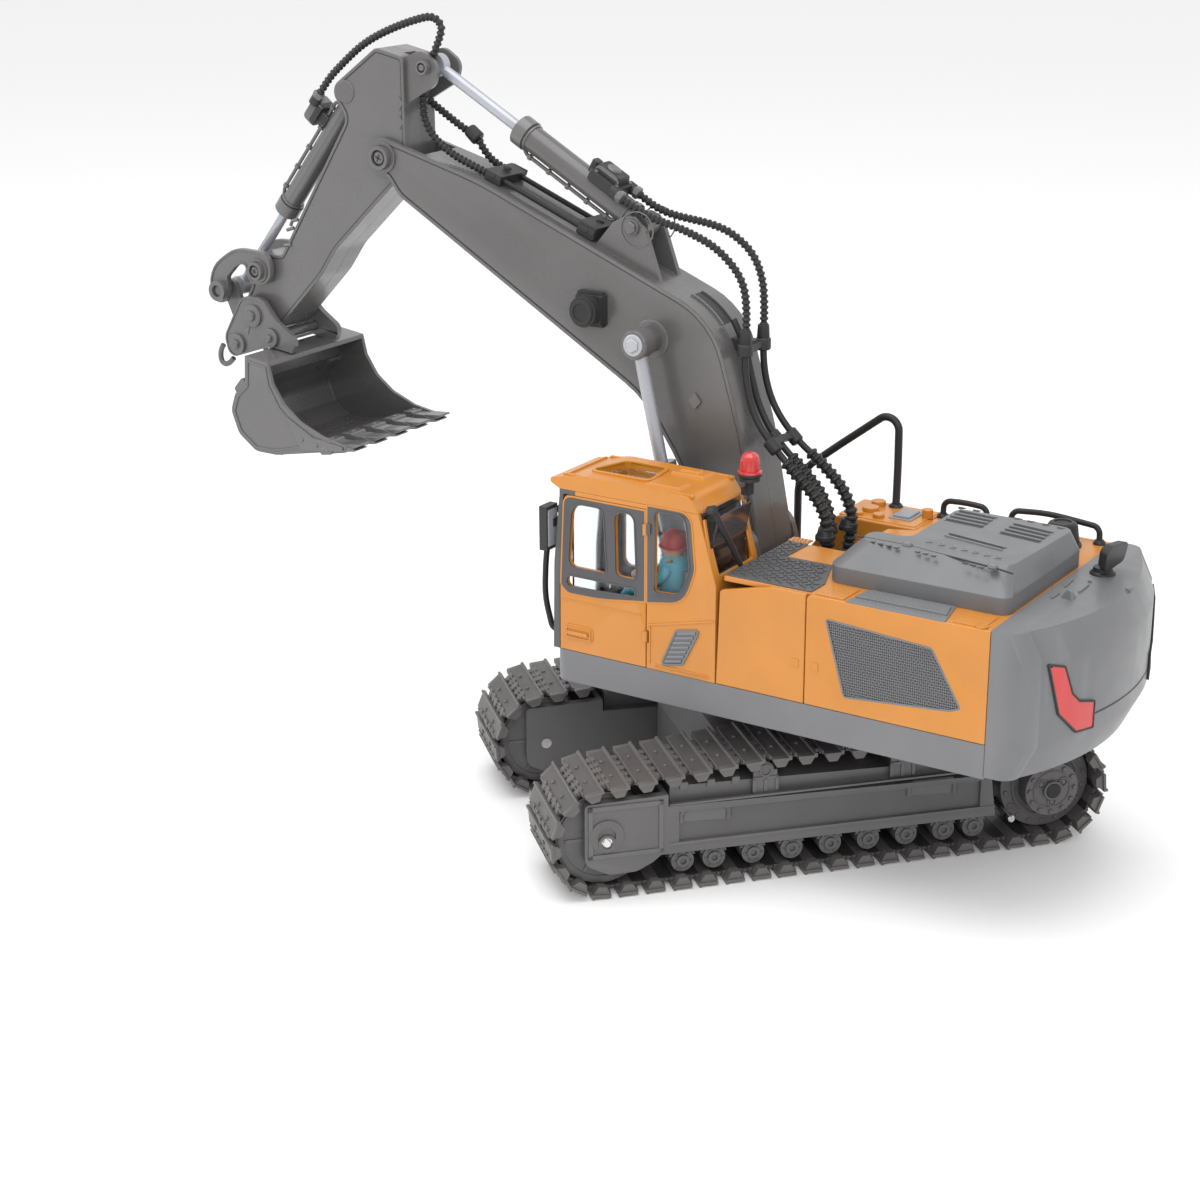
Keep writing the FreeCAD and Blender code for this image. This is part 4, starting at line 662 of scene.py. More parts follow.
def add_frame_fittings():
    """What is raised on the track frames: forked ends, grips, roller hubs and carrier brackets."""
    form = Form(TRAVEL)
    pins = Form(TRAVEL)
    for side in (1, -1):
        out = side * FRAME_FACE

        def outward(depth):
            """Y so far outside the frame's face."""
            return out + side * depth
        # forked end: a framed field with a round boss, a slot below it and the axle's end
        for low, high in (((64.4, 33.4), (91.6, 35.2)), ((64.4, 15.2), (91.6, 16.8)),
                ((64.4, 15.2), (66, 35.2)), ((90, 15.2), (91.6, 35.2))):
            form.prism([low, (high[0], low[1]), high, (low[0], high[1])], outward(-0.3), outward(0.55))
        form.ring((WHEEL_X, outward(-0.3), 23.6), (0, side, 0), 3.2, 6.2, 0, 1.0)
        form.ring((WHEEL_X, outward(0.3), WHEEL_Z), (0, side, 0), 2.05, 3.1, 0, 0.75)
        form.beam((WHEEL_X, outward(-0.3), 16.6), (WHEEL_X, outward(-0.3), 18.6), 0.5, 0.5, (0, side, 0))
        pins.rod((WHEEL_X, outward(0.4), WHEEL_Z), (WHEEL_X, outward(1.3), WHEEL_Z), 1.5, 20, 0.3)
        pins.rod((-69, out - side * 18, 11.5), (-69, outward(0.2), 11.5), 1.4, 18, 0.3)
        for x in (55.8, 45.8, 36.6):
            form.prism([(x - 1.7, 36.6), (x + 1.7, 36.6), (x + 1.3, 39.3), (x - 1.3, 39.3)],
                side * (TRACK_Y + 8.5), side * (TRACK_Y + 12.6))
        # hollow grips on the girder's flank
        for x in (40, -46):
            route = [(x, 24.6), (x, 28.4), (x + 1.2, 30.2), (x + 16, 30.2), (x + 17.6, 28.6),
                (x + 17.6, 25.4)]
            grip = [Vector((a, outward(-1.1), b)) for a, b in route]
            form.tube(resample(grip, 1), 1.1, 12)
            form.prism([(x + 1, 24.6, 0.8), (x + 1, 29.6, 0.8), (x + 16.8, 29.6, 0.8),
                (x + 16.8, 25.4, 0.8)], outward(-1.9), outward(-0.9))
        form.beam((-62, outward(-1.4), 17.6), (62, outward(-1.4), 17.6), 1.0, 1.7, (0, side, 0))
        form.beam((-62, outward(-1.4), 32.4), (62, outward(-1.4), 32.4), 0.8, 1.2, (0, side, 0))
        # hubs and bolts of the bottom rollers
        for x in ROLLERS_X:
            face = side * ROLLER_FACE
            form.ring((x, face - side * 0.2, ROLLER_Z), (0, side, 0), 1.1, 2.4, 0, 1.1)
            for k in range(6):
                angle = k * math.pi / 3
                form.bolt((x + 3.2 * math.cos(angle), face, ROLLER_Z + 3.2 * math.sin(angle)),
                    (0, side, 0), 0.9, 0.45)
            form.prism([(x - 5, 10.6), (x + 5, 10.6), (x + 3.4, 14), (x - 3.4, 14)], face - side * 2.4,
                face - side * 0.8)
        for x in (-26, 26):
            form.ring((x, side * CARRIER_FACE, 41), (0, side, 0), 1.7, 2.5, 0, 0.8)
            for leg in (-4.2, 0, 4.2):
                form.beam((x + leg, side * CARRIER_FACE, 33), (x + leg, side * CARRIER_FACE, 38.4), 1.3,
                    0.7, (0, side, 0))
            form.beam((x - 4.8, side * CARRIER_FACE, 38.2), (x + 4.8, side * CARRIER_FACE, 38.2), 1.0, 0.7,
                (0, side, 0))
    for k in range(10):
        angle = 2 * math.pi * k / 10
        form.bolt((25.8 * math.cos(angle), 25.8 * math.sin(angle), 43), UP, 1.8, 0.8)
    form.done("track_frame_fittings", "root", "undercarriage_plastic", bevel=0.12)
    pins.done("axle_ends", "root", "pin_steel", bevel=0)


def add_sprocket_bolts(name, side):
    """The sprocket's hub cap and the bolts round it."""
    hub = Form(TRAVEL)
    face = side * HUB_FACE
    for k in range(12):
        angle = 2 * math.pi * k / 12
        hub.bolt((-WHEEL_X + 8.9 * math.cos(angle), face, WHEEL_Z + 8.9 * math.sin(angle)), (0, side, 0),
            1.7, 0.8)
    for k in range(3):
        angle = 2 * math.pi * k / 3 + 0.5
        spot = (-WHEEL_X + 5 * math.cos(angle), face, WHEEL_Z + 5 * math.sin(angle))
        hub.ring(spot, (0, side, 0), 1.3, 1.9, -0.1, 0.5)
        hub.lathe(spot, (0, side, 0), [(-0.2, 1.0), (0.3, 1.0), (0.5, 0.6)], 14)
    hub.slot = 1
    hub.lathe((-WHEEL_X, face, WHEEL_Z), (0, side, 0), [(-0.1, 2.9), (1.7, 2.9), (2.1, 2.4)], 28)
    hub.slot = 0
    hub.ring((-WHEEL_X, face, WHEEL_Z), (0, side, 0), 2.8, 3.7, -0.1, 1.6)
    hub.ring((-WHEEL_X, face, WHEEL_Z), (0, side, 0), 6.9, 7.5, -0.1, 0.35)
    hub.ring((-WHEEL_X, side * HUB_BACK, WHEEL_Z), (0, side, 0), 12.4, 13.4, -0.1, 0.6)
    for k in range(18):
        angle = 2 * math.pi * (k + 0.5) / 18
        spot = (-WHEEL_X + 15.6 * math.cos(angle), side * HUB_BACK, WHEEL_Z + 15.6 * math.sin(angle))
        hub.lathe(spot, (0, side, 0), [(-0.2, 0.9), (0.4, 0.9), (0.55, 0.6)], 10)
    hub.done(name + "_sprocket_bolts", name + "_sprocket", "sprocket_plastic", bevel=0.1,
        materials=[MATERIAL["sprocket_plastic"], MATERIAL["black_plastic"]])


def add_idler_ribs(name, side):
    """Rims and spokes on both faces of the idler."""
    rim = Form(TRAVEL)
    for depth in (11.5, -11.5):
        flank = side * (TRACK_Y + depth)
        away = side * (1 if depth > 0 else -1)
        rim.ring((WHEEL_X, flank, WHEEL_Z), (0, away, 0), 14.6, 16.6, -0.1, 0.45)
        rim.ring((WHEEL_X, flank, WHEEL_Z), (0, away, 0), 2.1, 4.6, -0.1, 0.7)
        for k in range(6):
            angle = math.pi * k / 3
            rim.prism([(WHEEL_X + 5.5 * math.cos(angle - 0.12), WHEEL_Z + 5.5 * math.sin(angle - 0.12)),
                (WHEEL_X + 5.5 * math.cos(angle + 0.12), WHEEL_Z + 5.5 * math.sin(angle + 0.12)),
                (WHEEL_X + 14 * math.cos(angle + 0.05), WHEEL_Z + 14 * math.sin(angle + 0.05)),
                (WHEEL_X + 14 * math.cos(angle - 0.05), WHEEL_Z + 14 * math.sin(angle - 0.05))],
                flank - away * 0.1, flank + away * 0.5)
    rim.done(name + "_idler_ribs", name + "_idler", "undercarriage_plastic", bevel=0.1)


add_belts()
add_frame_fittings()
for name, side in SIDES:
    add_sprocket_bolts(name, side)
    add_idler_ribs(name, side)


# ---------------------------------------------------------------- hoses

NEAR_HOSE = [(68, 5.8, 227.1), (61.3, 6, 223.8), (53.7, 6.3, 221), (46.5, 6.5, 219.6), (39.4, 6.7, 218),
    (27.7, 7, 213.8), (19.3, 7, 207), (15.2, 7, 200.4), (14.1, 7, 191), (14.4, 7, 180), (14.2, 7.4, 168),
    (9.8, 8, 153), (1.6, 8, 143.6), (-8, 8, 134.5), (-18, 8, 126), (-22.4, 8, 116), (-20.5, 8, 104)]
FAR_HOSE = [(68, -5.8, 227.1), (62.9, -5.8, 224), (57.2, -5.8, 221.8), (51.5, -5.9, 220.6),
    (45.5, -6, 220), (39.5, -6, 219.4), (33.4, -6, 218.3), (27.3, -6, 216.1), (19.2, -6, 210.3),
    (14.9, -6, 201), (14.1, -6, 190), (14.6, -6.2, 178), (14.1, -6.8, 165.9), (10, -7, 154),
    (1.6, -7.6, 143.6), (-11, -8, 134.6), (-20, -8, 126.4), (-24.2, -8, 115), (-21.5, -8, 104)]
MIDDLE_HOSE = [(23.4, 0.4, 186.5), (18.4, 0.4, 178), (15.4, 0.4, 166), (11.6, 0.4, 154.4), (5, 0.4, 144.6),
    (-5.6, 0.2, 135.2), (-15.4, 0, 125.6), (-19.4, 0, 114.6), (-17.4, 0, 104)]
LOOP_HOSE = [(210.6, 4, 255.3), (206, 4, 261.3), (198.5, 4, 267.6), (190.5, 4, 273.9), (182.8, 4, 278.4),
    (172.3, 4, 282.8), (161.9, 4, 286.2), (154, 4, 288), (149.6, 4, 284.5), (151.2, 4, 279.5),
    (154.4, 4, 273.1), (157.9, 4, 264.7), (159.6, 4.4, 255), (159, 4.4, 249), (154.5, 5, 242.6),
    (145.5, 5.6, 237), (136.5, 6, 233.9), (128.3, 6, 231.2)]
SHORT_HOSE = [(163.2, -4.4, 255), (156.2, -4.5, 250.6), (147.1, -4.8, 245.3), (140.6, -5.2, 242),
    (138.8, -5.5, 238.2), (134.1, -6, 233.2), (128.3, -6, 231.2)]
# heights where a hose passes its clamps: the boom's, and the lower one below which it is thick and ribbed
BOOM_CLAMP_Z, LEG_CLAMP_Z = 181, 139
# ends of the stretch where a hose runs between its two bodies; done takes them but only bakes the hose in
# place
DECK_BEND = ((-21, 0, 112), (14, 0, 172))
TIP_BEND = ((161, -4.4, 254), (137, -6, 236))
# core radius, rib radius and pitch
DECK_RIBS = (1.75, 2.5, 2.6)
FINE_RIBS = (1.1, 1.6, 2.05)
SMOOTH_RADIUS = 1.3


def split(path, height):
    """The two parts of a path above and below a height that it passes once on its way down."""
    index = next(i for i, p in enumerate(path) if p.z < height)
    return path[:index + 1], path[index:]


def metre(point):
    """A point in metres."""
    return tuple(value * SCALE for value in point)


def hose(name, path, ribs, a, b=None, start=None, end=None, replaces=()):
    """A hose on body a; where b is given it is baked in place on no body, and b, start and end only go to
    done.
    """
    form = Form()
    if name.endswith("deck_hose"):
        form.ribbed(path, *DECK_RIBS)
    elif ribs:
        form.ribbed(path, *FINE_RIBS)
    else:
        form.tube(resample(path, 1.2), SMOOTH_RADIUS, 14)
    bend = (a, b, metre(start), metre(end)) if b else None
    form.done(name, a, "hose_black", bevel=0, blend=bend, replaces=replaces)


def add_hoses():
    """Each hose, cut where it changes between ribbed and smooth or between bodies."""
    boom_replaced, stick_replaced = ("boom_hoses",), ("stick_hoses",)
    for name, route in (("near", NEAR_HOSE), ("far", FAR_HOSE)):
        upper, lower = split(spline(route), BOOM_CLAMP_Z)
        smooth, end = split(lower, LEG_CLAMP_Z)
        hose(name + "_upper_hose", upper, True, "boom", replaces=boom_replaced)
        hose(name + "_middle_hose", smooth, False, "house", "boom", *DECK_BEND, boom_replaced)
        hose(name + "_deck_hose", end, True, "house", "boom", *DECK_BEND, boom_replaced)
    smooth, end = split(spline(MIDDLE_HOSE), LEG_CLAMP_Z)
    hose("centre_middle_hose", smooth, False, "house", "boom", *DECK_BEND, boom_replaced)
    hose("centre_deck_hose", end, True, "house", "boom", *DECK_BEND, boom_replaced)
    loop = spline(LOOP_HOSE)
    middle = next(i for i, p in enumerate(loop) if p.z < 264 and p.x < 165)
    hose("loop_upper_hose", loop[:middle + 1], True, "bucket_barrel", "stick", (207, 4, 260),
        (178, 4, 281), stick_replaced)
    hose("loop_lower_hose", loop[middle:], True, "stick", "boom", (157.9, 4.4, 262), (137, 6, 234),
        stick_replaced)
    hose("short_hose", spline(SHORT_HOSE), True, "stick", "boom", *TIP_BEND, stick_replaced)


def add_hose_clamps():
    """Clamps at the boom's back and half way down, the short hose's collar and the deck's glands."""
    clamp = Form()
    for y, x in ((7, 14.4), (-6.2, 14.5)):
        clamp.lathe((x, y, 184.5), (0, 0, -1), [(0, 2.1), (5, 2.4), (5.2, 2.9), (9, 2.9), (9.4, 2.5)], 20)
    clamp.box((13.2, -6, 176.6), (15.4, 7, 179.2))
    clamp.box((14, -2.6, 175.6), (24, 2.6, 180))
    clamp.done("boom_hose_clamp", "boom", "black_plastic", bevel=0.3)
    middle = Form()
    for x, y, z in ((1.6, 8, 143.6), (1.6, -7.6, 143.6), (4.6, 0.4, 144.4)):
        middle.lathe((x + 2.2, y, z + 2), (-0.73, 0, -0.68),
            [(0, 2.0), (0.6, 2.6), (5.2, 2.6), (5.8, 2.0)], 18)
    middle.beam((1.8, -8, 143.8), (2.6, 0.4, 144.6), 2.6, 1.1, (0.68, 0, -0.73), sunk=1.1)
    middle.beam((2.6, 0.4, 144.6), (1.8, 8, 143.8), 2.6, 1.1, (0.68, 0, -0.73), sunk=1.1)
    middle.done("leg_hose_clamp", None, "black_plastic", bevel=0.2,
        blend=("house", "boom", *map(metre, DECK_BEND)))
    collar = Form()
    collar.lathe((142.6, -5.1, 243.4), (-0.78, 0, -0.62), [(-3, 2.2), (-2.4, 2.7), (2.4, 2.9), (3, 2.2)],
        20)
    collar.done("short_hose_collar", None, "black_plastic", bevel=0.2,
        blend=("stick", "boom", *map(metre, TIP_BEND)))
    ends = Form()
    for x, y in ((-20.6, 8), (-21.6, -8), (-17.5, 0)):
        ends.lathe((x, y, 111.8), UP, [(0, 3.6), (1.6, 3.6), (2.1, 3.1), (4.2, 2.5)], 24)
    ends.done("deck_hose_glands", "house", "black_plastic", bevel=0.2)


add_hoses()
add_hose_clamps()


# ---------------------------------------------------------------- upper body

LEFT, RIGHT = 64.6, -45.0
DECK = 112.0
HOOD = 125.9
GRILLE = [(-50.8, 104.7), (-58.6, 77.4), (-98.3, 81), (-102.2, 82.6), (-90.7, 102.1)]


def clipped(outline, start, end):
    """The part of a segment inside a convex outline, or None."""
    area = sum(a[0] * b[1] - b[0] * a[1] for a, b in zip(outline, outline[1:] + outline[:1]))
    low, high = 0.0, 1.0
    for a, b in zip(outline, outline[1:] + outline[:1]):
        normal = Vector((a[1] - b[1], b[0] - a[0])) * (1 if area > 0 else -1)
        first, last = normal.dot(Vector(start) - Vector(a)), normal.dot(Vector(end) - Vector(a))
        if first < 0 and last < 0:
            return None
        if first < 0:
            low = max(low, first / (first - last))
        elif last < 0:
            high = min(high, first / (first - last))
    if low >= high:
        return None
    return Vector(start).lerp(Vector(end), low), Vector(start).lerp(Vector(end), high)


def add_grilles():
    """A dark backing, painted shade behind the mesh, and a crossed mesh in each rear side panel."""
    for name, face, side in (("left", LEFT, 1), ("right", RIGHT, -1)):
        field = offset(GRILLE, 0.5)
        form = Form()
        # painted shade: a dark sheet just behind the mesh
        form.prism(field, face - side * 0.9, face - side * 0.72)
        form.done(name + "_grille_shade_backing", "house", "cab_dark_grey", bevel=0)
        mesh = Form()
        span = 34
        for k in range(-span, span + 1):
            for lean in (1, -1):
                middle = Vector((-76.5 + k * 1.55, 91))
                along = Vector((0.62, 0.78 * lean)) * 40
                part = clipped(field, middle - along, middle + along)
                if part:
                    a, b = part
                    mesh.beam((a.x, face - side * 0.75, a.y), (b.x, face - side * 0.75, b.y), 0.42, 0.35,
                        (0, side, 0))
        mesh.border(offset(GRILLE, -0.1), 0.7, face - side * 0.75, face - side * 0.1)
        mesh.done(name + "_grille_mesh", "house", "body_grey", bevel=0)


def add_deck():
    """Anti-slip treads on the deck, the side step and the seams' bosses."""
    tread = Form()
    tread.prism([(-10.6, 62), (-44, 62), (-44, 52), (-37.4, 34), (-37.4, 33.4), (-18.6, 33.4), (-18.6, 17),
        (-10.6, 17)], DECK - 0.2, DECK + 0.35, axis="z")
    for row in range(14):
        for column in range(16):
            x, y = -12.2 - row * 2.3, 18.6 + column * 2.9 + (1.45 if row % 2 else 0)
            beside_hood = x < -17.4 and y < 35
            past_slope = x < -36 and y < 36 + (-36 - x) * 2.7
            if y > 60.6 or beside_hood or past_slope or x < -42.6:
                continue
            lean = 0.8 if (row + column) % 2 else -0.8
            tread.beam((x - 0.8, y - lean, DECK + 0.3), (x + 0.8, y + lean, DECK + 0.3), 0.7, 0.45, UP)
    tread.done("deck_tread", "house", "cab_dark_grey", bevel=0.1)
    step = Form()
    step.prism([(-58.4, 64.4), (-61, 49.6), (-92, 49.6), (-95, 64.4)], DECK - 0.3, DECK + 0.5, axis="z")
    step.prism([(-59.6, 60), (-60.6, 52), (-91.4, 52), (-93.4, 60)], DECK + 0.3, DECK + 1.1, axis="z")
    for row, y in enumerate((51, 54, 58, 62)):
        for k in range(20):
            step.lathe((-61.6 - k * 1.56 - row * 0.15, y, DECK + (1.0 if y in (54, 58) else 0.4)), UP,
                [(-0.2, 0.42), (0.28, 0.36)], 8)
    step.done("side_step_tread", "house", "body_grey", bevel=0.12)
    ends = Form()
    for low, high in ((-57, -46), (-108, -97)):
        ends.prism(oblong(low, 51, high, 63), DECK - 0.2, DECK + 0.35, axis="z")
        for y in (53.5, 57, 60.5):
            for k in range(5):
                ends.lathe((low + 1.7 + k * 1.9, y, DECK + 0.3), UP, [(-0.2, 0.4), (0.25, 0.34)], 8)
    ends.prism(oblong(-10, 12, -18, 16.6), DECK - 0.2, DECK + 0.3, axis="z")
    for k in range(5):
        ends.beam((-11 - k * 1.5, 12.8, DECK + 0.25), (-11.8 - k * 1.5, 15.8, DECK + 0.25), 0.6, 0.4, UP)
    ends.ring((-107, 62, DECK), UP, 1.2, 2.2, -0.1, 0.5)
    # raised bosses either side of the seam between the side panels
    for x, z in ((-39.8, 86.4), (-47.4, 86.4)):
        boss = oblong(x - 1.4, z - 1.6, x + 1.4, z + 1.6, 0.6)
        ends.prism(boss, LEFT - 0.3, LEFT + 0.3)
        ends.prism(boss, RIGHT + 0.3, RIGHT - 0.3)
    ends.done("deck_tread_ends", "house", "body_orange", bevel=0.12)


SLOT_GROUPS = ((-65.8, -7.6, -79.8, -6.4), (-88.3, -4, -103.2, -1.6))
SLOTS, SLOT_PITCH = 4, 3.7


def add_hood_slots():
    """Painted shade in the hood's slots, seam and notches: dark strips and marks laid on the hood."""
    dark = Form()
    seam = [(-48, 36.3), (-56.5, 36.3), (-67, 36.3), (-94, 41), (-103, 42.6), (-109.4, 44.6)]
    # painted shade: dark strips along the seam, in the slots and at the notches
    for a, b in zip(seam, seam[1:]):
        dark.beam((*a, HOOD - 0.15), (*b, HOOD - 0.15), 0.5, 0.19, UP)
    for x0, y0, x1, y1 in SLOT_GROUPS:
        for row in range(SLOTS):
            shift = row * SLOT_PITCH
            dark.beam((x0, y0 + shift, HOOD - 0.3), (x1 - row * 0.3, y1 + shift, HOOD - 0.3), 1.9, 0.34, UP)
    dark.beam((-74, 18.4, HOOD - 0.3), (-96.2, 23, HOOD - 0.3), 2.6, 0.34, UP)
    for x, y in ((-64.6, -12.4), (-70.4, -12.2), (-86.8, -11.2), (-92, -10.6), (-98, -9.8), (-103.8, -9)):
        dark.prism([(x - 1.6, y - 0.9), (x + 1.6, y - 0.9), (x + 0.9, y + 0.9), (x - 0.9, y + 0.9)],
            HOOD - 0.2, HOOD + 0.05, axis="z")
    for start, count in (((-72, 41.4), 3), ((-90.6, 43.8), 3), ((-54.4, 39.8), 4)):
        for k in range(count):
            x, y = start[0] - k * 3.2, start[1] + k * 0.5
            dark.prism([(x, y), (x - 2, y - 0.9), (x - 2, y + 0.9)], HOOD - 0.2, HOOD + 0.05, axis="z")
    dark.done("hood_slot_shade", "house", "black_plastic", bevel=0)


def add_hood_marks():
    """Raised lips and marks on the hood and on the counterweight's top."""
    form = Form()
    for x0, y0, x1, y1 in SLOT_GROUPS:
        for row in range(SLOTS):
            shift = row * SLOT_PITCH - 1.6
            form.beam((x0 + 0.5, y0 + shift, HOOD - 0.3), (x1 - 0.5, y1 + shift, HOOD - 0.3), 0.9, 0.75, UP)
    form.beam((-73.4, 16.8, HOOD - 0.3), (-96.8, 21.5, HOOD - 0.3), 0.8, 0.75, UP)
    form.beam((-73.4, 20.2, HOOD - 0.3), (-96.8, 24.7, HOOD - 0.3), 0.8, 0.75, UP)
    for x, y in ((-71.5, 28.8), (-76.4, 29.6), (-80.9, 30.1), (-85.3, 30.5), (-89.6, 31), (-94.2, 31.6),
            (-98.4, 32.2)):
        form.beam((x, y - 1.2, HOOD - 0.2), (x - 1.4, y + 0.9, HOOD - 0.2), 0.7, 0.65, UP)
        form.beam((x - 1.3, y + 0.8, HOOD - 0.2), (x + 0.4, y + 1.5, HOOD - 0.2), 0.6, 0.55, UP)
    for x, y in ((-67, 36.3), (-101.2, 42.3)):
        form.lathe((x - 1.8, y, HOOD + 0.1), (1, 0, 0), [(0, 0.5), (0.6, 1.1), (3, 1.1), (3.6, 0.5)], 16)
        form.ring((x, y, HOOD), UP, 1.1, 1.8, -0.1, 0.4)
    # on the counterweight's top
    for a, b in (((-115.9, 25.4), (-116.1, 19.5)), ((-115.2, 12.5), (-114.6, 4.2)),
            ((-121.4, 15), (-121.2, 6)), ((-119.6, 2.6), (-121, 2.6))):
        form.beam((*a, 112.4), (*b, 112.4), 0.7, 0.8, UP)
    form.prism([(-117.6, 22.2), (-122.7, 24.6), (-122.7, 20)], 112.3, 115.4, axis="z", top=0.35)
    for a, b in (((-133.6, 3.4), (-136, 4.6)), ((-133.6, 3.4), (-135.4, 1.2))):
        form.beam((*a, 112.3), (*b, 112.3), 0.7, 0.9, UP)
    form.done("hood_and_tail_marks", "house", "body_grey", bevel=0.12)


TAIL_X, TAIL_MIDDLE, TAIL_HALF, TAIL_BULGE = -140, 9.8, 48.8, 12.5


def rear_face(y):
    """X of the counterweight's bulged rear face."""
    radius = (TAIL_HALF ** 2 + TAIL_BULGE ** 2) / (2 * TAIL_BULGE)
    return radius + TAIL_X - math.sqrt(radius ** 2 - (y - TAIL_MIDDLE) ** 2)


def add_counterweight():
    """A dark strip of painted shade along the groove across the rear face, and the black rims of the tail
    lamps.
    """
    dark = Form()
    for k in range(24):
        y0, y1 = -16 + k * 2.2, -13.8 + k * 2.2
        # painted shade: a thin dark strip where the groove runs
        dark.beam((rear_face(y0), y0, 78.6), (rear_face(y1), y1, 78.6), 0.55, 0.12, (-1, 0, 0))
    dark.done("counterweight_groove_shade", "house", "black_plastic", bevel=0)
    lamp = Form()
    for sign in (1, -1):
        points = [(57, 101.5), (50.5, 99.5), (46.5, 89), (43, 85.5), (35.5, 83.5), (35.5, 74.2),
            (44, 74.8), (52, 83)]
        moved = [(TAIL_MIDDLE + sign * (a - TAIL_MIDDLE), b) for a, b in points]
        for a, b in zip(moved, moved[1:] + moved[:1]):
            lamp.beam((rear_face(a[0]) - 0.3, *a), (rear_face(b[0]) - 0.3, *b), 0.7, 0.6, (-1, 0, 0))
    lamp.done("tail_lamp_rims", "house", "black_plastic", bevel=0.1)


def add_right_box():
    """Panels, front ribs and top plate of the right side box, and the recess round its button."""
    form = Form()
    form.prism([(14.6, 74, 2), (14.6, 77, 1), (-9, 109.6, 3), (-41, 109.6, 1), (-41, 92), (-37, 88),
        (-37, 74)], RIGHT + 0.3, RIGHT - 0.35)
    form.prism([(-5.6, 103, 2), (-36, 103, 2), (-36, 94, 2), (1, 94, 2)], RIGHT + 0.2, RIGHT - 0.7)
    for k in range(6):
        form.beam((-32 + k * 5.4, RIGHT - 0.6, 96.2), (-32 + k * 5.4, RIGHT - 0.6, 100.8), 1.1, 0.4,
            (0, -1, 0))
    form.prism(oblong(-1, 79, 9, 82.5, 1), RIGHT + 0.2, RIGHT - 0.9)
    # ribs of the sloping front face
    for k in range(5):
        z = 80 + k * 6
        x = 16.5 - (z - 76.5) * (26.8 / 35.5)
        form.beam((x, -42, z), (x, -23.6, z), 1.6, 0.55, (0.8, 0, 0.6))
    form.prism([(-10.3, -43.6), (-10.3, -22), (-42, -22), (-42, -43.6)], DECK - 0.1, DECK + 0.3, axis="z")
    form.done("right_box_panels", "house", "body_orange", bevel=0.2)
    recess = Form()
    recess.prism([(-28.8, -39, 0.8), (-28.8, -26.6, 0.8), (-38, -26.6, 0.8), (-38, -39, 0.8)], DECK + 0.2,
        DECK + 0.7, axis="z")
    recess.done("button_recess", "house", "button_grey", bevel=0.15)


STACK = (-95.5, -32.2)


def add_stack_and_feet():
    """The exhaust stack, and the round feet of the rails and of the rear mirror."""
    stack = Form()
    stack.lathe((*STACK, DECK), UP, [(-0.2, 7.2), (0.8, 7.2), (1.2, 6.5), (7.4, 5.5), (8.4, 4.9),
        (8.7, 4.0), (8.75, 3.4), (8.4, 3.2)], 40)
    stack.ring((*STACK, 120.3), UP, 3.1, 4.3, -0.2, 0.5)
    stack.done("exhaust_stack", "house", "black_plastic", bevel=0.15)
    feet = Form()
    for x, y, z, across in ((-45.2, -39.6, DECK, 1.9), (-63, -39.6, DECK, 1.9), (-72, -40.6, DECK, 1.9),
            (-106.6, -40.6, DECK, 1.9), (-25, -41, DECK, 2.4)):
        feet.lathe((x, y, z), UP, [(0, across + 0.5), (0.7, across + 0.3), (1.5, across - 0.3)], 20)
    feet.lathe((16.9, -41, 78.6), UP, [(-1.5, 2.6), (0.8, 2.6), (1.6, 2.0)], 20)
    # the rear mirror's foot
    feet.lathe((-120.5, -8.6, 112.4), UP, [(0, 4.6), (0.7, 4.4), (1.2, 3.6), (2.6, 3.2)], 28)
    feet.done("rail_feet", "house", "hose_black", bevel=0.12)


# ---------------------------------------------------------------- cab

CAB_MIDDLE = 49.3
CAB_ROOF, SKYLIGHT_RIM = 138.7, 1.4
BEACON_X, BEACON_Y = -5.5, 37.5
DRIVER_Y = 49


def add_window_frames():
    """Grey frames round the left windows, each with an orange bead round it."""
    for name, body, outline, holes in (("door_window_frame", "cab_door",
            [(21.2, 97.2), (40, 94.6, 60), (53.6, 94.4, 3), (56.6, 97, 2), (54.9, 130.6, 3),
            (21.2, 130.6)], [[(24.5, 104.5, 2), (33, 104.5, 2), (33.5, 128.5, 3), (25.5, 128.5, 3)],
            [(37, 104.5, 2), (53.4, 104.5, 3), (51.5, 128.5, 5), (38.5, 128.5, 3)],
            [(25, 98.4, 1), (54.2, 96.8, 2), (54, 101, 2), (25, 101, 1)]]),
            ("quarter_window_frame", "house",
            [(19.8, 132.6), (2.6, 132.6, 4.6), (0.6, 112, 9), (5, 99.6, 9), (14, 98.2, 14), (19.8, 97.2)],
            [[(16.8, 131.4, 2), (4.4, 131.4, 4), (2.6, 112, 6), (6.5, 102, 6), (16.8, 101.5, 1)]])):
        frame_form = Form()
        frame_form.plate(outline, holes, LEFT - 0.2, LEFT + 0.4)
        for hole in holes:
            frame_form.border(offset(arc_points(hole), -0.5), 0.55, LEFT + 0.2, LEFT + 0.65)
        frame_form.done(name, body, "cab_dark_grey", bevel=0.1)
        bead = Form()
        bead.border(offset(arc_points(outline), -0.65), 0.7, LEFT - 0.1, LEFT + 0.3)
        bead.done(name + "_bead", body, "body_orange", bevel=0.12)


def add_cab_inner_shade():
    """A dark sheet inside the right wall, painted shade inside the cab, and the catch of the quarter
    window.
    """
    inner_shade = Form()
    # painted shade: a dark sheet on the inside of the right wall
    inner_shade.plate([(-5.4, 76), (57.4, 76), (54.6, 130.6), (-1.6, 130.6)], [oblong(10, 98, 48, 128, 3)],
        35.7, 36.0)
    inner_shade.done("cab_inner_shade", "house", "cab_dark_grey", bevel=0)
    catch = Form()
    catch.prism(oblong(18.3, 122.4, 20.0, 126.4, 0.6), LEFT + 0.2, LEFT + 1.1)
    catch.prism(oblong(16.5, 104, 17.4, 128, 0.4), LEFT + 0.3, LEFT + 0.8)
    catch.done("quarter_window_catch", "house", "cab_dark_grey", bevel=0.15)


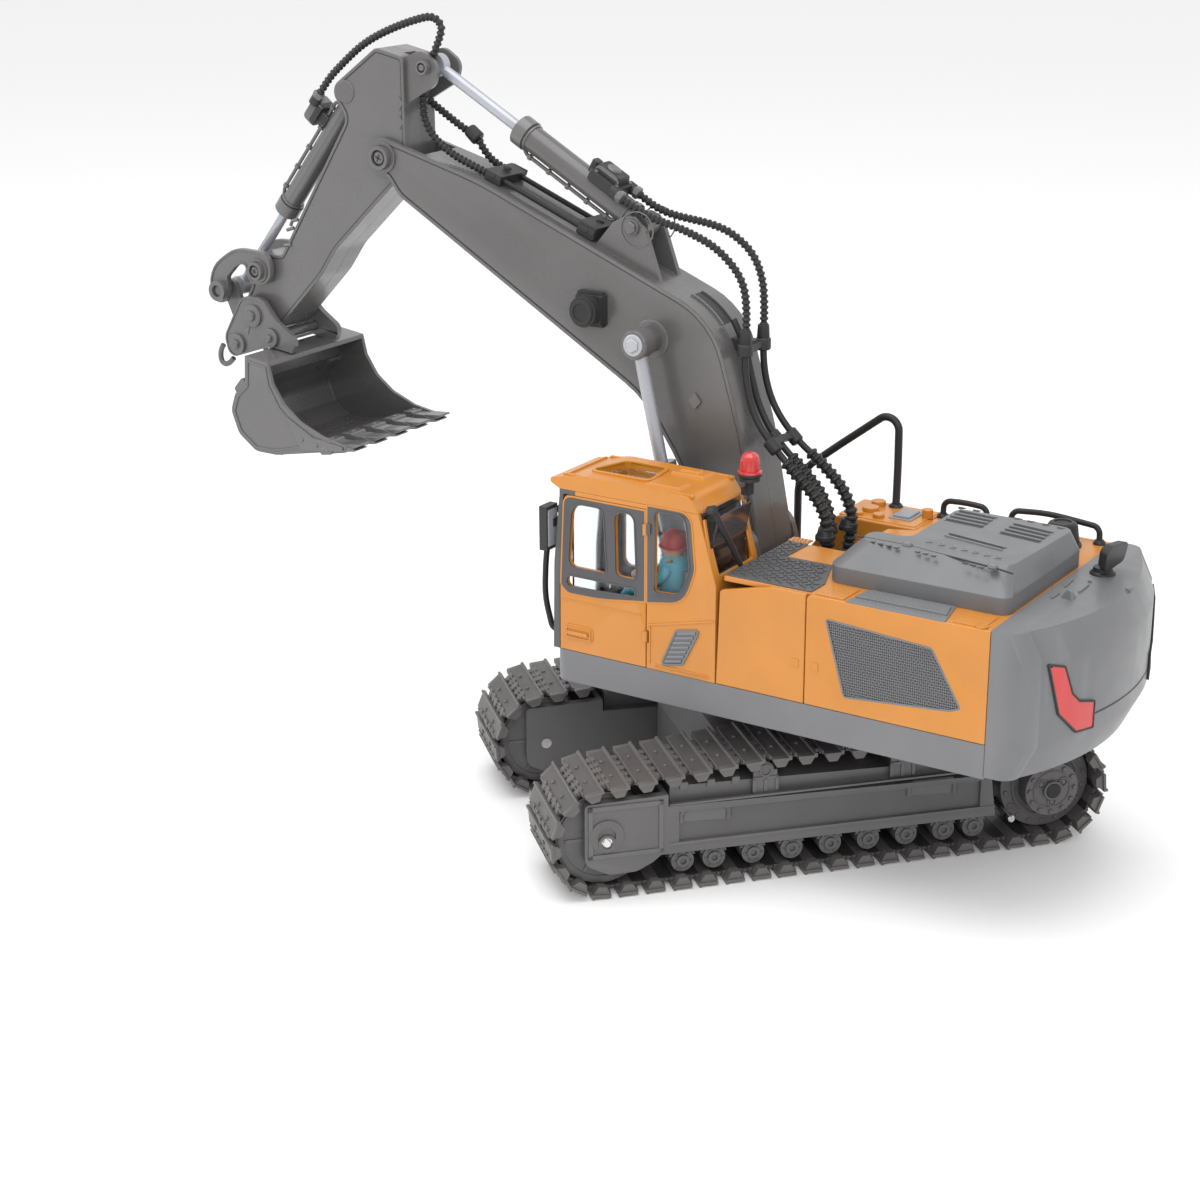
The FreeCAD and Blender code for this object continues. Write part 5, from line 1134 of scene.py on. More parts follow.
def add_door_handle():
    """The door's handle plate and the line below its window."""
    door = Form()
    door.prism(oblong(43, 76.4, 55.4, 82.4, 2), LEFT - 0.2, LEFT + 0.35)
    door.border(oblong(43.8, 77.2, 54.6, 81.6), 0.6, LEFT + 0.2, LEFT + 0.8)
    door.beam((45, LEFT + 0.3, 79.4), (53.6, LEFT + 0.3, 79.4), 1.3, 1.0, (0, 1, 0))
    door.beam((22.4, LEFT, 91.6), (56.6, LEFT, 91.6), 0.5, 0.3, (0, 1, 0))
    door.done("door_handle", "cab_door", "body_orange", bevel=0.15)


def add_cab_panel_lines():
    """Raised lines of the cab's side and rear corners."""
    shell = Form()
    shell.beam((19.4, LEFT, 88.6), (-7.4, LEFT, 95), 0.7, 0.4, (0, 1, 0))
    shell.beam((18.9, LEFT, 74), (18.9, LEFT, 88.2), 0.6, 0.35, (0, 1, 0))
    shell.border(oblong(16.6, 72.8, -5.4, 74.4), 0.45, LEFT - 0.1, LEFT + 0.3)
    for side_y in (35.4, 63.2):
        shell.beam((-6.4, side_y, 108), (-2.2, side_y, 131), 1.3, 0.5, (-1, 0, 0.17))
    shell.done("cab_panel_lines", "house", "body_orange", bevel=0.12)


def add_side_vent():
    """The slanted louvre low on the side, seven slats in a frame."""
    vent = Form()
    slope = [(13.8, 74.7, 0.8), (7.7, 88.6, 0.8), (-1.8, 90.5, 0.8), (5.1, 76.5, 0.8)]
    vent.prism(slope, LEFT - 0.2, LEFT + 0.3)
    vent.border(offset(arc_points(slope), -0.4), 0.8, LEFT - 0.1, LEFT + 0.65)
    for k in range(7):
        t = (k + 0.6) / 7.2
        a = Vector((13.8, 74.7)).lerp(Vector((7.7, 88.6)), t)
        b = Vector((5.1, 76.5)).lerp(Vector((-1.8, 90.5)), t)
        vent.beam((a.x - 0.9, LEFT + 0.2, a.y + 0.15), (b.x + 0.9, LEFT + 0.2, b.y - 0.15), 0.95, 0.6,
            (0, 1, 0.5))
    vent.done("cab_side_vent", "house", "body_grey", bevel=0.1)


def add_cab_roof():
    """The roof's raised pads and ribs, and the skylight's rim."""
    roof = Form()
    for y0, y1 in ((52.4, 61), (36.4, 44.8)):
        roof.prism(oblong(9, y0, 23.4, y1), CAB_ROOF, 139.9, axis="z", top=0.86)
    roof.prism(oblong(12.4, 38.4, 21, 42.4), 139.6, 140.5, axis="z", top=0.8)
    skylight = arc_points([(26.5, -8, 2), (43, -8, 2), (48, 8, 2), (24, 8, 2)])
    moved = [(x, y + CAB_MIDDLE) for x, y in skylight]
    roof.border(offset(moved, -SKYLIGHT_RIM), SKYLIGHT_RIM, CAB_ROOF, 140.0, axis="z")
    roof.beam((56, 36.4, 137.4), (56, 62, 137.4), 2.6, 0.9, (0.25, 0, 1))
    for y in (35.6, 63):
        roof.beam((2, y, 138.3), (54, y, 138.0), 1.3, 0.9, UP)
    roof.beam((22.6, 63.6, 133.6), (22.6, 63.6, 138.2), 0.9, 0.9, (0, 1, 0))
    roof.beam((-0.4, 36.2, 133.4), (-0.4, 62.4, 133.4), 1.5, 0.6, (-1, 0, 0.3))
    roof.done("cab_roof_ribs", "house", "body_orange", bevel=0.25)


def add_rear_window():
    """The smoked rear pane and its wiper."""
    pane = Form(Matrix.Translation((-3.6, 48.4, 121)) @ spin("Y", -10.5))
    pane.prism(oblong(-11.6, -10.6, 11.6, 10.8), -0.5, 0.1, axis="x")
    pane.done("rear_window_tint", "house", "clear_plastic", bevel=0.1,
        materials=[MATERIAL["smoked_plastic"]])
    wiper = Form()
    wiper.tube([Vector((-4.6, 60.6, 133.0)), Vector((-7.2, 55, 122.6)), Vector((-9.4, 49.8, 112))],
        [1.5, 1.2, 1.0], 10)
    wiper.lathe((-2.4, 60.8, 133.6), (-1, 0, 0.2), [(0, 1.7), (2.6, 2.0), (3.2, 1.4)], 20)
    wiper.done("rear_wiper_blade", "house", "black_plastic", bevel=0.1)


def add_rear_mirror():
    """The paddle-shaped mirror on the counterweight."""
    paddle = Form(Matrix.Translation((-123, -9, 119.6)) @ spin("Z", -8) @ spin("Y", -12))
    paddle.prism([(-7.4, -3.4, 2.4), (5.8, -5.2, 2.6), (7.8, 3.4, 2.4), (5.0, 5.6, 2.0), (-7.0, 4.4, 2.6)],
        -2.0, 1.2, axis="x", top=0.86)
    paddle.prism([(-6.0, -2.6, 1.8), (5.0, -4.0, 1.8), (6.6, 3.0, 1.8), (4.4, 4.4, 1.4), (-5.8, 3.4, 1.8)],
        1.0, 1.6, axis="x")
    paddle.lathe((-0.2, 1, -7), (0.2, 0, 1), [(0, 2.6), (1.2, 2.2), (4, 1.8)], 20)
    paddle.done("rear_mirror_paddle", "house", "black_plastic", bevel=0.5)


def add_beacon():
    """The red beacon, ribbed all round, on a black base."""
    lamps = Form()
    lamps.lathe((BEACON_X, BEACON_Y, 141.2), UP, [(-0.6, 3.9), (0, 4.4), (0.8, 4.4), (1.2, 3.9)], 32)
    lamps.done("beacon_base", "house", "black_plastic", bevel=0.1)
    lens = Form()
    lens.lathe((BEACON_X, BEACON_Y, 142.2), UP,
        [(0, 4.3), (0.7, 4.3), (1.0, 3.5), (4.6, 3.4), (6.2, 3.0), (7.1, 2.0), (7.5, 0.9), (7.55, 0)], 36)
    for k in range(16):
        angle = k * math.pi / 8
        lens.beam((BEACON_X + 3.4 * math.cos(angle), BEACON_Y + 3.4 * math.sin(angle), 143.4),
            (BEACON_X + 3.35 * math.cos(angle), BEACON_Y + 3.35 * math.sin(angle), 146.6), 0.35, 0.2,
            (math.cos(angle), math.sin(angle), 0))
    lens.done("beacon_lens", "house", "red_lens", bevel=0)


def add_cab_inside():
    """Seat, seat ribs, levers and pedals."""
    inside = Form()
    for x in (9, 12.4, 15.8, 19.2, 22.6):
        inside.beam((x, 42.5, 86), (x, 55.5, 86), 2.2, 0.8, UP)
    for z in (90, 94, 98, 102):
        inside.beam((10, 43, z), (10, 55, z), 2.4, 0.8, (1, 0, 0))
    inside.lathe((42, 50, 89.6), (-0.3, 0, 1),
        [(0, 2.2), (1.2, 1.9), (2.4, 1.0), (8, 0.9), (9, 1.9), (11, 1.9), (11.6, 1.0)], 18)
    inside.lathe((24, 37.6, 91.8), (0.1, 0, 1),
        [(0, 1.8), (1.4, 1.2), (6, 0.9), (7, 1.8), (9, 1.7), (9.6, 0.8)], 18)
    for k in range(4):
        inside.box((41.5, 41 + k * 4.4, 89.7), (45, 43.6 + k * 4.4, 90.8))
    inside.done("cab_controls", "house", "interior_plastic", bevel=0.2)
    seat = Form()
    seat.prism(oblong(8, 41.4, 27, 56.6, 1.5), 86, 92.6, axis="z")
    seat.done("seat_cushion", "house", "interior_plastic", bevel=1.0)


def beside(side, points):
    """A smooth line through points (x, distance to one side of the driver's middle, z)."""
    return resample(spline([(x, DRIVER_Y + side * out, z) for x, out, z in points]), 1)


def add_driver():
    """The seated figure, with a plain face, a helmet and braces."""
    sitting = Matrix.Translation((3, 0, 6.6))
    figure = Form(sitting)
    figure.lathe((14.9, DRIVER_Y, 86.2), (0.02, 0, 1),
        [(0, 5.4), (3, 6.0), (8, 5.6), (13, 5.9), (16, 5.2), (18, 3.2), (19.6, 2.3)], 28)
    arm = ((14.6, 5.8, 100.4), (15.6, 8.2, 97.6), (19.4, 7.6, 94.2), (27.6, 4.6, 95.6))
    leg = ((15.4, 2.9, 88.6), (24, 3, 90.4), (32.4, 3.4, 90), (35.6, 3.4, 79.6))
    for side in (-1, 1):
        for limb, radius in ((arm, 2.0), (leg, 2.6)):
            figure.tube(beside(side, limb), radius, 14)
    figure.done("driver_body", "house", "driver_blue", bevel=0.1, replaces=("driver_figure",))
    head = Form(sitting)
    head.lathe((15.5, DRIVER_Y, 101.8), (0.03, 0, 1),
        [(0, 1.9), (1.2, 2.6), (2.4, 3.5), (4.6, 3.9), (6.6, 3.8), (8.6, 2.8)], 28)
    head.lathe((19.2, DRIVER_Y, 106.2), (1, 0, 0), [(0, 0.7), (0.7, 0.5), (0.9, 0.2)], 12)
    for side in (-1, 1):
        head.lathe((27.4, DRIVER_Y + side * 4.6, 95.6), (1, 0, 0), [(0, 1.7), (1.6, 1.9), (2.6, 1.1)], 14)
        head.lathe((15.3, DRIVER_Y + side * 3.7, 106), (0, side, 0), [(0, 0.9), (0.6, 0.8), (0.8, 0.4)], 12)
    head.done("driver_head", "house", "driver_blue", bevel=0.1, materials=[MATERIAL["driver_skin"]])
    helmet = Form(sitting)
    helmet.lathe((15.4, DRIVER_Y, 107.2), (-0.03, 0, 1),
        [(0, 5.6), (0.5, 5.6), (0.7, 4.7), (3, 4.6), (5, 3.6), (6.4, 1.8), (6.7, 0)], 32)
    helmet.beam((18.6, 47.6, 107.6), (18.6, 50.4, 107.6), 4.6, 0.5, UP)
    for y in (47, DRIVER_Y, 51):
        helmet.beam((12, y, 112.2), (18.4, y, 112.2), 0.7, 0.8, UP)
    helmet.done("driver_helmet", "house", "driver_blue", bevel=0.1, materials=[MATERIAL["driver_red"]])
    sash = Form(sitting)
    for side in (-1, 1):
        sash.tube(beside(side, ((13.4, 4.6, 103.2), (19, 3.6, 101.6), (21.1, 3, 96), (20.6, 3, 89))), 0.6,
            8)
    sash.done("driver_braces", "house", "driver_blue", bevel=0.05, materials=[MATERIAL["body_orange"]])


def add_front_mirror():
    """The front mirror's silver face and its clamp."""
    mirror = Form()
    mirror.beam((60.9, 63.9, 111), (60.9, 63.9, 124.6), 5.4, 0.35, (-1, 0, 0))
    mirror.lathe((62.4, 62, 117.4), UP, [(0, 1.6), (0.6, 1.9), (3.6, 1.9), (4.2, 1.6)], 18)
    mirror.done("front_mirror_face", "house", "silver_plastic", bevel=0.1)


add_grilles()
add_deck()
add_hood_slots()
add_hood_marks()
add_counterweight()
add_right_box()
add_stack_and_feet()
add_window_frames()
add_cab_inner_shade()
add_door_handle()
add_cab_panel_lines()
add_side_vent()
add_cab_roof()
add_rear_window()
add_rear_mirror()
add_beacon()
add_cab_inside()
add_driver()
add_front_mirror()


# ---------------------------------------------------------------- arm

LIFT_BASE, LIFT_EYE = (30, 86), (51.4, 178)
TIP_PIN, STICK_BASE, STICK_EYE = (174, 234.3), (62.5, 217.4), (155.2, 269.2)
BUCKET_BASE, BUCKET_PIN, COUPLER_PIN = (193.5, 257.7), (242.3, 164.4), (251.4, 151.5)
LATCH_PIN, LEVER_PIN, LINK_PIN = (233.2, 156.1), (239.8, 183.0), (260.6, 172.6)
BOOM = [(181.2, 243.7, 7.2), (128, 229.5, 150), (25, 188.5, 32), (12, 146, 80), (1.2, 91.5, 12),
    (25, 91.5, 12), (39, 132, 40), (55, 155.2, 40), (166.5, 219.9, 10), (172, 227.1, 3),
    (181.2, 227.1, 7.2)]
STICK = [(164.6, 272.5, 3), (178, 275.2, 3), (201, 258.3, 5), (193, 247.5, 5), (230, 189.5, 3),
    (247.5, 189.5, 6), (246.5, 176, 4), (249.8, 170, 5), (249.8, 157.5, 7), (235, 157.5, 7),
    (209.5, 183.5, 30), (201.5, 194.8, 20), (174, 220.9, 10), (164.6, 229, 8)]


def pin_head(form, place, y, radius, kind="cross"):
    """A turned pin head with a ring, and a cross or hexagon socket, facing away from the middle."""
    side = 1 if y > 0 else -1
    x, z = place
    form.lathe((x, y - side * 0.5, z), (0, side, 0), [(0, radius), (0.7, radius), (1.0, radius - 0.3)], 36)
    form.ring((x, y, z), (0, side, 0), radius * 0.72, radius * 1.02, 0.3, 1.5)
    # painted shade: a black floor in the ring's groove
    form.slot = 1
    form.lathe((x, y, z), (0, side, 0), [(0, radius * 0.72), (0.6, radius * 0.72)], 28)
    form.slot = 0
    if kind == "cross":
        form.lathe((x, y, z), (0, side, 0), [(0, radius * 0.52), (0.95, radius * 0.52),
            (1.2, radius * 0.4)], 24)
        # painted shade: a black cross for the cross socket
        form.slot = 1
        for angle in (0.4, 0.4 + math.pi / 2):
            reach = radius * 0.34
            form.beam((x - reach * math.cos(angle), y + side * 0.4, z - reach * math.sin(angle)),
                (x + reach * math.cos(angle), y + side * 0.4, z + reach * math.sin(angle)), radius * 0.18,
                0.85, (0, side, 0))
        form.slot = 0
    else:
        form.bolt((x, y + side * 0.3, z), (0, side, 0), radius * 0.95, 1.2)


BOOM_FACE, STICK_FACE = 12, 9.4


def add_boom_rims():
    """The lip along the boom's outline, a thin dark line of painted shade inside the lip, and the pads on
    its sides.
    """
    boom = Form()
    line = Form()
    flat = arc_points(BOOM, 10)
    for side in (1, -1):
        face = side * BOOM_FACE
        boom.border(offset(flat, 0.15), 1.25, face - side * 0.2, face + side * 0.35)
        # painted shade: a thin dark strip just inside the lip, where the lip meets the side
        line.border(offset(flat, 1.55), 0.35, face - side * 0.1, face + side * 0.06)
        boom.prism([(32.3, 160.4, 0.5), (35, 157.2, 0.5), (32.3, 154, 0.5), (29.6, 157.2, 0.5)],
            face - side * 0.2, face + side * 0.9)
        # raised pad under the lift cylinder's eye
        boom.lathe((LIFT_EYE[0], face - side * 0.3, LIFT_EYE[1]), (0, side, 0),
            [(0, 7.4), (0.6, 7.2), (0.9, 6.6)], 40)
    boom.done("boom_rims", "boom", "arm_grey", bevel=0.12)
    line.done("boom_rim_shade_lines", "boom", "hose_black", bevel=0)


def add_stick_rims():
    """The lip along the stick's outline, a thin dark line of painted shade inside the lip, and the marks on
    its sides.
    """
    stick = Form()
    shade = Form()
    flat = arc_points(STICK, 8)
    for side in (1, -1):
        face = side * STICK_FACE
        stick.border(offset(flat, 0.1), 1.1, face - side * 0.2, face + side * 0.3)
        # painted shade: a thin dark strip just inside the lip, where the lip meets the side
        shade.border(offset(flat, 1.35), 0.3, face - side * 0.1, face + side * 0.05)
        for route in (((220.4, 205.2), (223.4, 204.4), (224.4, 202.4)), ((222.8, 201.6), (226.4, 200.4)),
                ((224.6, 194.6), (228, 194))):
            stick.tube([Vector((x, face + side * 0.1, z)) for x, z in route], 0.75, 10)
        for z0, z1 in ((257.6, 252.4), (250.4, 245.2)):
            stick.beam((167.4, face, z0), (165.8, face, (z0 + z1) / 2), 0.6, 0.35, (0, side, 0))
            stick.beam((165.8, face, (z0 + z1) / 2), (167.4, face, z1), 0.6, 0.35, (0, side, 0))
        stick.lathe((BUCKET_BASE[0], face - side * 0.2, BUCKET_BASE[1]), (0, side, 0),
            [(0, 4.6), (0.5, 4.5), (0.8, 4.1)], 32)
    stick.done("stick_rims", "stick", "arm_grey", bevel=0.1)
    shade.done("stick_rim_shade_lines", "stick", "hose_black", bevel=0)


def add_pin_heads():
    """Pin heads at the stick's two ends and at the stick cylinder's foot."""
    pins = Form()
    for side in (1, -1):
        pin_head(pins, TIP_PIN, side * 13.8, 4.4)
        pins.ring((TIP_PIN[0], side * 12, TIP_PIN[1]), (0, side, 0), 4.5, 6.2, -0.3, 0.9)
        pins.bolt((STICK_BASE[0], side * 8.4, STICK_BASE[1]), (0, side, 0), 4.4, 1.4, washer=3.1)
        pins.border([(60.4 + 7.2 * math.cos(t), 216.8 + 6.8 * math.sin(t))
            for t in [0.35 * j for j in range(18)]], 0.5, side * 7.5, side * 7.9)
    pins.done("boom_pin_heads", "boom", "arm_grey", bevel=0.1, materials=ARM_GREY_AND_RECESS_SHADE)
    heads = Form()
    for side in (1, -1):
        pin_head(heads, STICK_EYE, side * 9.4, 2.6, kind="hex")
    heads.done("stick_pin_heads", "stick", "arm_grey", bevel=0.1, materials=ARM_GREY_AND_RECESS_SHADE)


def add_lift_eyes():
    """Caps and nuts on the lift cylinders' rod eyes."""
    caps, nut = Form(), Form()
    for side in (1, -1):
        caps.ring((LIFT_EYE[0], side * 18.1, LIFT_EYE[1]), (0, side, 0), 5.0, 5.6, 0, 6.0)
        caps.lathe((LIFT_EYE[0], side * 23.9, LIFT_EYE[1]), (0, side, 0),
            [(0, 5.3), (0.4, 5.3), (0.7, 4.9)], 36)
        nut.lathe((LIFT_EYE[0], side * 24.4, LIFT_EYE[1]), (0, side, 0),
            [(0, 4.2), (0.7, 4.0), (0.9, 3.4)], 32)
        nut.bolt((LIFT_EYE[0], side * 25.2, LIFT_EYE[1]), (0, side, 0), 5.0, 1.0)
    caps.done("lift_eye_caps", "boom_rods", "arm_grey", bevel=0.12)
    nut.done("lift_eye_nuts", "boom_rods", "silver_plastic", bevel=0.12)


def add_work_lamp():
    """A faceted block that carries a finned round head."""
    lamp = Form()
    x, z = 77, 186.3
    lamp.prism(oblong(70.6, 180.4, 83.6, 192.8, 1), 11.9, 15.4, top=0.86)
    for y in (15.4, 16.5, 17.6, 18.7):
        lamp.lathe((x, y, z), (0, 1, 0), [(0, 5.0), (0.12, 5.8), (0.72, 5.8), (0.84, 5.0)], 32)
    lamp.lathe((x, 15, z), (0, 1, 0), [(0, 4.9), (4.8, 4.9), (5.1, 4.3), (5.2, 3.4)], 32)
    lamp.ring((x, 20, z), (0, 1, 0), 3.4, 4.6, -0.2, 0.5)
    lamp.done("work_lamp", "boom", "black_plastic", bevel=0.1)


def add_boom_back():
    """A dark strip of painted shade for the slot on the boom's back where the middle hose leaves, and the
    slot's rim.
    """
    slot, rim = Form(), Form()
    back = [p for p in arc_points(BOOM, 24) if 21 < p[0] < 47 and p[1] > 183]
    for a, b in zip(back, back[1:]):
        out = Vector((a[1] - b[1], 0, b[0] - a[0]))
        out = out if out.z > 0 else -out
        # painted shade: a dark strip lies where the slot is
        slot.beam((a[0], 0, a[1]), (b[0], 0, b[1]), 6.4, 0.12, out)
        for y in (-3.7, 3.7):
            rim.beam((a[0], y, a[1]), (b[0], y, b[1]), 1.0, 0.7, out)
    slot.done("boom_back_slot_shade", "boom", "hose_black", bevel=0)
    rim.done("boom_slot_rim", "boom", "arm_grey", bevel=0)


def add_pipe_clamps():
    """The bolts of the clamps that hold the pipes on the boom's back."""
    clips = Form()
    for x, z in ((124.4, 230.6), (82.4, 214.2)):
        for side in (1, -1):
            clips.prism([(x - 3.4, z - 1.6), (x + 3.0, z + 0.6), (x + 2.2, z + 2.6), (x - 4.2, z + 0.4)],
                side * 8.3, side * 8.9)
            clips.bolt((x - 0.6, side * 8.8, z + 0.4), (0, side, 0), 1.7, 0.5)
        clips.lathe((x - 0.9, 0, z + 2.2), (-0.36, 0, 0.93), [(-0.2, 1.7), (0.6, 1.6), (0.9, 1.0)], 20)
    clips.done("pipe_clamp_bolts", "boom", "black_plastic", bevel=0.1)


def along_axis(start, end):
    """Unit direction from one pin to another in the arm's plane."""
    return (Vector((end[0], 0, end[1])) - Vector((start[0], 0, start[1]))).normalized()


def square_to(axis):
    """The direction at a right angle to an axis, in the arm's plane."""
    return Vector((-axis.z, 0, axis.x))


def between(a, b, along, away=0.0, y=0.0):
    """A point so far along the line between two pins, and so far off it."""
    axis = along_axis(a, b)
    return Vector((a[0], y, a[1])) + axis * along + square_to(axis) * away


def axes_at(start, end):
    """The place whose X runs from one pin to another, with its Z away from the line."""
    axis = (between(start, end, 1) - between(start, end, 0)).normalized()
    turned = Matrix((axis, (0, 1, 0), square_to(axis))).transposed().to_4x4()
    return Matrix.Translation(between(start, end, 0)) @ turned


def dress(form, pipe, start, end, radius, first, last, y, away, clips):
    """A barrel's collars between first and last along it, and the clipped pipe on one side."""
    axis = along_axis(start, end)
    origin = Vector((start[0], y, start[1]))
    for along, wide, grow in ((first + 0.2, 1.6, 0.55), (first + 2.6, 0.7, 0.35), (last - 5.2, 5.0, 1.0),
            (last - 6.6, 0.8, 0.5)):
        form.ring(origin + axis * along, axis, radius - 0.4, radius + grow, 0, wide)
    normal = square_to(axis) * away
    lift = (normal + Vector((0, 0.25, 0))).normalized() * (radius + 1.3)
    route = [origin + axis * (first + 6) + lift * 0.7, origin + axis * (first + 8) + lift,
        origin + axis * (last - 8) + lift, origin + axis * (last - 5.6) + lift * 0.8]
    pipe.tube(resample(route, 1.2), 0.75, 12)
    for k in range(clips):
        along = first + 10 + (last - first - 20) * k / max(1, clips - 1)
        pipe.lathe(origin + axis * (along - 0.2) + lift, axis, [(0, 1.2), (1.3, 1.2)], 14)


def add_stick_cylinder():
    """Collars, seal and side pipe, and the valve block with its bolts, dome and two nozzles."""
    form, pipe, seal = Form(), Form(), Form()
    dress(form, pipe, STICK_BASE, STICK_EYE, 5.0, 4, 62.7, 0, -1, 5)
    step = between(STICK_BASE, STICK_EYE, 1) - between(STICK_BASE, STICK_EYE, 0)
    seal.lathe(between(STICK_BASE, STICK_EYE, 62.6), step, [(-0.2, 3.3), (0.5, 3.1), (0.8, 2.4)], 28)
    axis = step.normalized()
    normal = square_to(axis)
    valve = Form(axes_at(STICK_BASE, STICK_EYE))
    valve.prism(oblong(12.8, -5.8, 26.7, 5.8, 1), 3.4, 7.6, axis="z")
    valve.prism(oblong(14.3, -4.2, 26, 4.2, 1), 7.5, 10.4, axis="z", top=0.9)
    valve.prism(oblong(26.5, -2, 29.4, 2, 0.8), 4.6, 9.4, axis="z")
    for y in (-5.8, 5.8):
        valve.lathe((15.2, y, 5.8), (-1, 0, 0), [(0, 2.3), (3.2, 2.3), (3.6, 1.9), (5.6, 1.9)], 20)
    valve.done("stick_valve_cover", "stick_barrel", "black_plastic", bevel=0.4)
    for s in (14.4, 24.4):
        for y in (-4.6, 4.6):
            form.bolt(between(STICK_BASE, STICK_EYE, s, 7.5, y), normal, 1.5, 0.6)
    form.lathe(between(STICK_BASE, STICK_EYE, 20.4, 10.0), normal, [(0, 2.9), (0.7, 2.8), (1.2, 2.1)], 28)
    for y in (-5.8, 5.8):
        form.lathe(between(STICK_BASE, STICK_EYE, 11.4, 5.8, y), -axis, [(0, 2.5), (1.8, 2.5), (2.2, 2.0)],
            6)
    form.done("stick_cylinder_collars", "stick_barrel", "arm_grey", bevel=0.12)
    pipe.done("stick_cylinder_pipe", "stick_barrel", "arm_grey", bevel=0.08)
    seal.done("stick_cylinder_seal", "stick_barrel", "silver_plastic", bevel=0.1)


def add_bucket_cylinder():
    """Collars, seal and side pipe, and the valve block with its bolts, dome and nozzle."""
    form, pipe, seal = Form(), Form(), Form()
    dress(form, pipe, BUCKET_BASE, LINK_PIN, 4.3, 4, 66, 0, 1, 5)
    axis = (between(BUCKET_BASE, LINK_PIN, 1) - between(BUCKET_BASE, LINK_PIN, 0)).normalized()
    normal = square_to(axis)
    valve = Form(axes_at(BUCKET_BASE, LINK_PIN))
    valve.prism(oblong(18.3, -3.2, 23.2, 3.2, 0.8), 3.4, 8.2, axis="z")
    valve.prism(oblong(16.3, -4.4, 25.8, 4.4, 1), 7.5, 13.6, axis="z", top=0.9)
    valve.lathe((18, 4, 12), (-1, 0, 0), [(0, 2.3), (3.2, 2.3), (3.6, 1.9), (5.4, 1.9)], 20)
    valve.done("bucket_valve_cover", "bucket_barrel", "black_plastic", bevel=0.4)
    seal.lathe(between(BUCKET_BASE, LINK_PIN, 65.9), axis, [(-0.2, 3.0), (0.5, 2.8), (0.8, 2.2)], 28)
    for s in (18, 24):
        for y in (-2.8, 2.8):
            form.bolt(between(BUCKET_BASE, LINK_PIN, s, 13.3, y), normal, 1.5, 0.6)
    form.lathe(between(BUCKET_BASE, LINK_PIN, 21, 13.2), normal, [(0, 2.2), (0.8, 2.1), (1.3, 1.4)], 24)
    form.lathe(between(BUCKET_BASE, LINK_PIN, 14.4, 12, 4), -axis, [(0, 2.5), (1.8, 2.5), (2.2, 2.0)], 6)
    form.done("bucket_cylinder_collars", "bucket_barrel", "arm_grey", bevel=0.12)
    pipe.done("bucket_cylinder_pipe", "bucket_barrel", "arm_grey", bevel=0.08)
    seal.done("bucket_cylinder_seal", "bucket_barrel", "silver_plastic", bevel=0.1)


def add_lift_cylinders():
    """Collars and side pipes of the two lift cylinders."""
    form, pipe = Form(), Form()
    for y in (21, -21):
        dress(form, pipe, LIFT_BASE, LIFT_EYE, 4.5, 4.5, 50, y, -1, 4)
    form.done("lift_cylinder_collars", "boom_barrels", "arm_grey", bevel=0.12)
    pipe.done("lift_cylinder_pipes", "boom_barrels", "arm_grey", bevel=0.08)


def add_lever():
    """Rims and pin heads of the C-shaped levers."""
    lever = Form()
    outline = [(232.9, 177.2, 6), (232.9, 190.9, 6.5), (252, 191.3, 16), (266.2, 181.5, 14),
        (266.2, 167.3, 4.8), (256.6, 167.3, 4.5), (256.6, 178.5, 3), (250.5, 184.6, 6),
        (246.3, 184.6, 1.5), (245.8, 177.2, 5)]
    flat = arc_points(outline, 8)
    for side in (1, -1):
        lever.border(offset(flat, 0.1), 0.9, side * 13.1, side * 13.7)
        pin_head(lever, LEVER_PIN, side * 14.4, 3.6)
        lever.ring((LEVER_PIN[0], side * 13.2, LEVER_PIN[1]), (0, side, 0), 3.7, 5.0, -0.2, 0.8)
        lever.ring((LINK_PIN[0], side * 13.2, LINK_PIN[1]), (0, side, 0), 2.4, 4.2, -0.2, 3.0)
        lever.lathe((LINK_PIN[0], side * 13.2, LINK_PIN[1]), (0, side, 0),
            [(0, 2.3), (1.6, 2.3), (1.8, 1.6)], 24)
    lever.done("lever_rims", "bucket_lever", "arm_grey", bevel=0.12, materials=ARM_GREY_AND_RECESS_SHADE)


def add_coupler():
    """Rims, pin heads and hooks of the coupler's plates."""
    coupler = Form()
    plate = arc_points([(237, 172, 6), (248, 172, 6), (258.5, 154, 6), (256, 144.8, 4), (234.2, 152.3),
        (222.2, 151), (219.5, 156.5, 4), (230, 163.5, 8)], 8)
    for side in (1, -1):
        coupler.border(offset(plate, 0.1), 0.8, side * 14.7, side * 15.3)
        for place, across in ((BUCKET_PIN, 4.6), (COUPLER_PIN, 4.2), (LATCH_PIN, 3.6)):
            coupler.ring((place[0], side * 14.8, place[1]), (0, side, 0), across * 0.74, across * 1.0,
                -0.2, 1.3)
            # painted shade: a black floor in each ring's groove round the bolt
            coupler.slot = 1
            coupler.lathe((place[0], side * 14.8, place[1]), (0, side, 0),
                [(0, across * 0.75), (0.5, across * 0.75)], 28)
            coupler.slot = 0
            coupler.bolt((place[0], side * 14.8, place[1]), (0, side, 0), across * 0.86, 2.4,
                washer=across * 0.6)
        coupler.prism([(244.4, 159.6), (248.2, 158), (245.4, 156)], side * 14.7, side * 15.2)
        hook = [(255.4, side * 13.6, 144.6), (258.4, side * 13.6, 141.2), (262.4, side * 13.6, 141.8),
            (262.6, side * 13.6, 147.2), (260.6, side * 13.6, 149.6)]
        coupler.tube(resample(spline(hook), 0.6), 1.15, 12)
    coupler.done("coupler_rims", "bucket", "arm_grey", bevel=0.12, materials=ARM_GREY_AND_RECESS_SHADE)


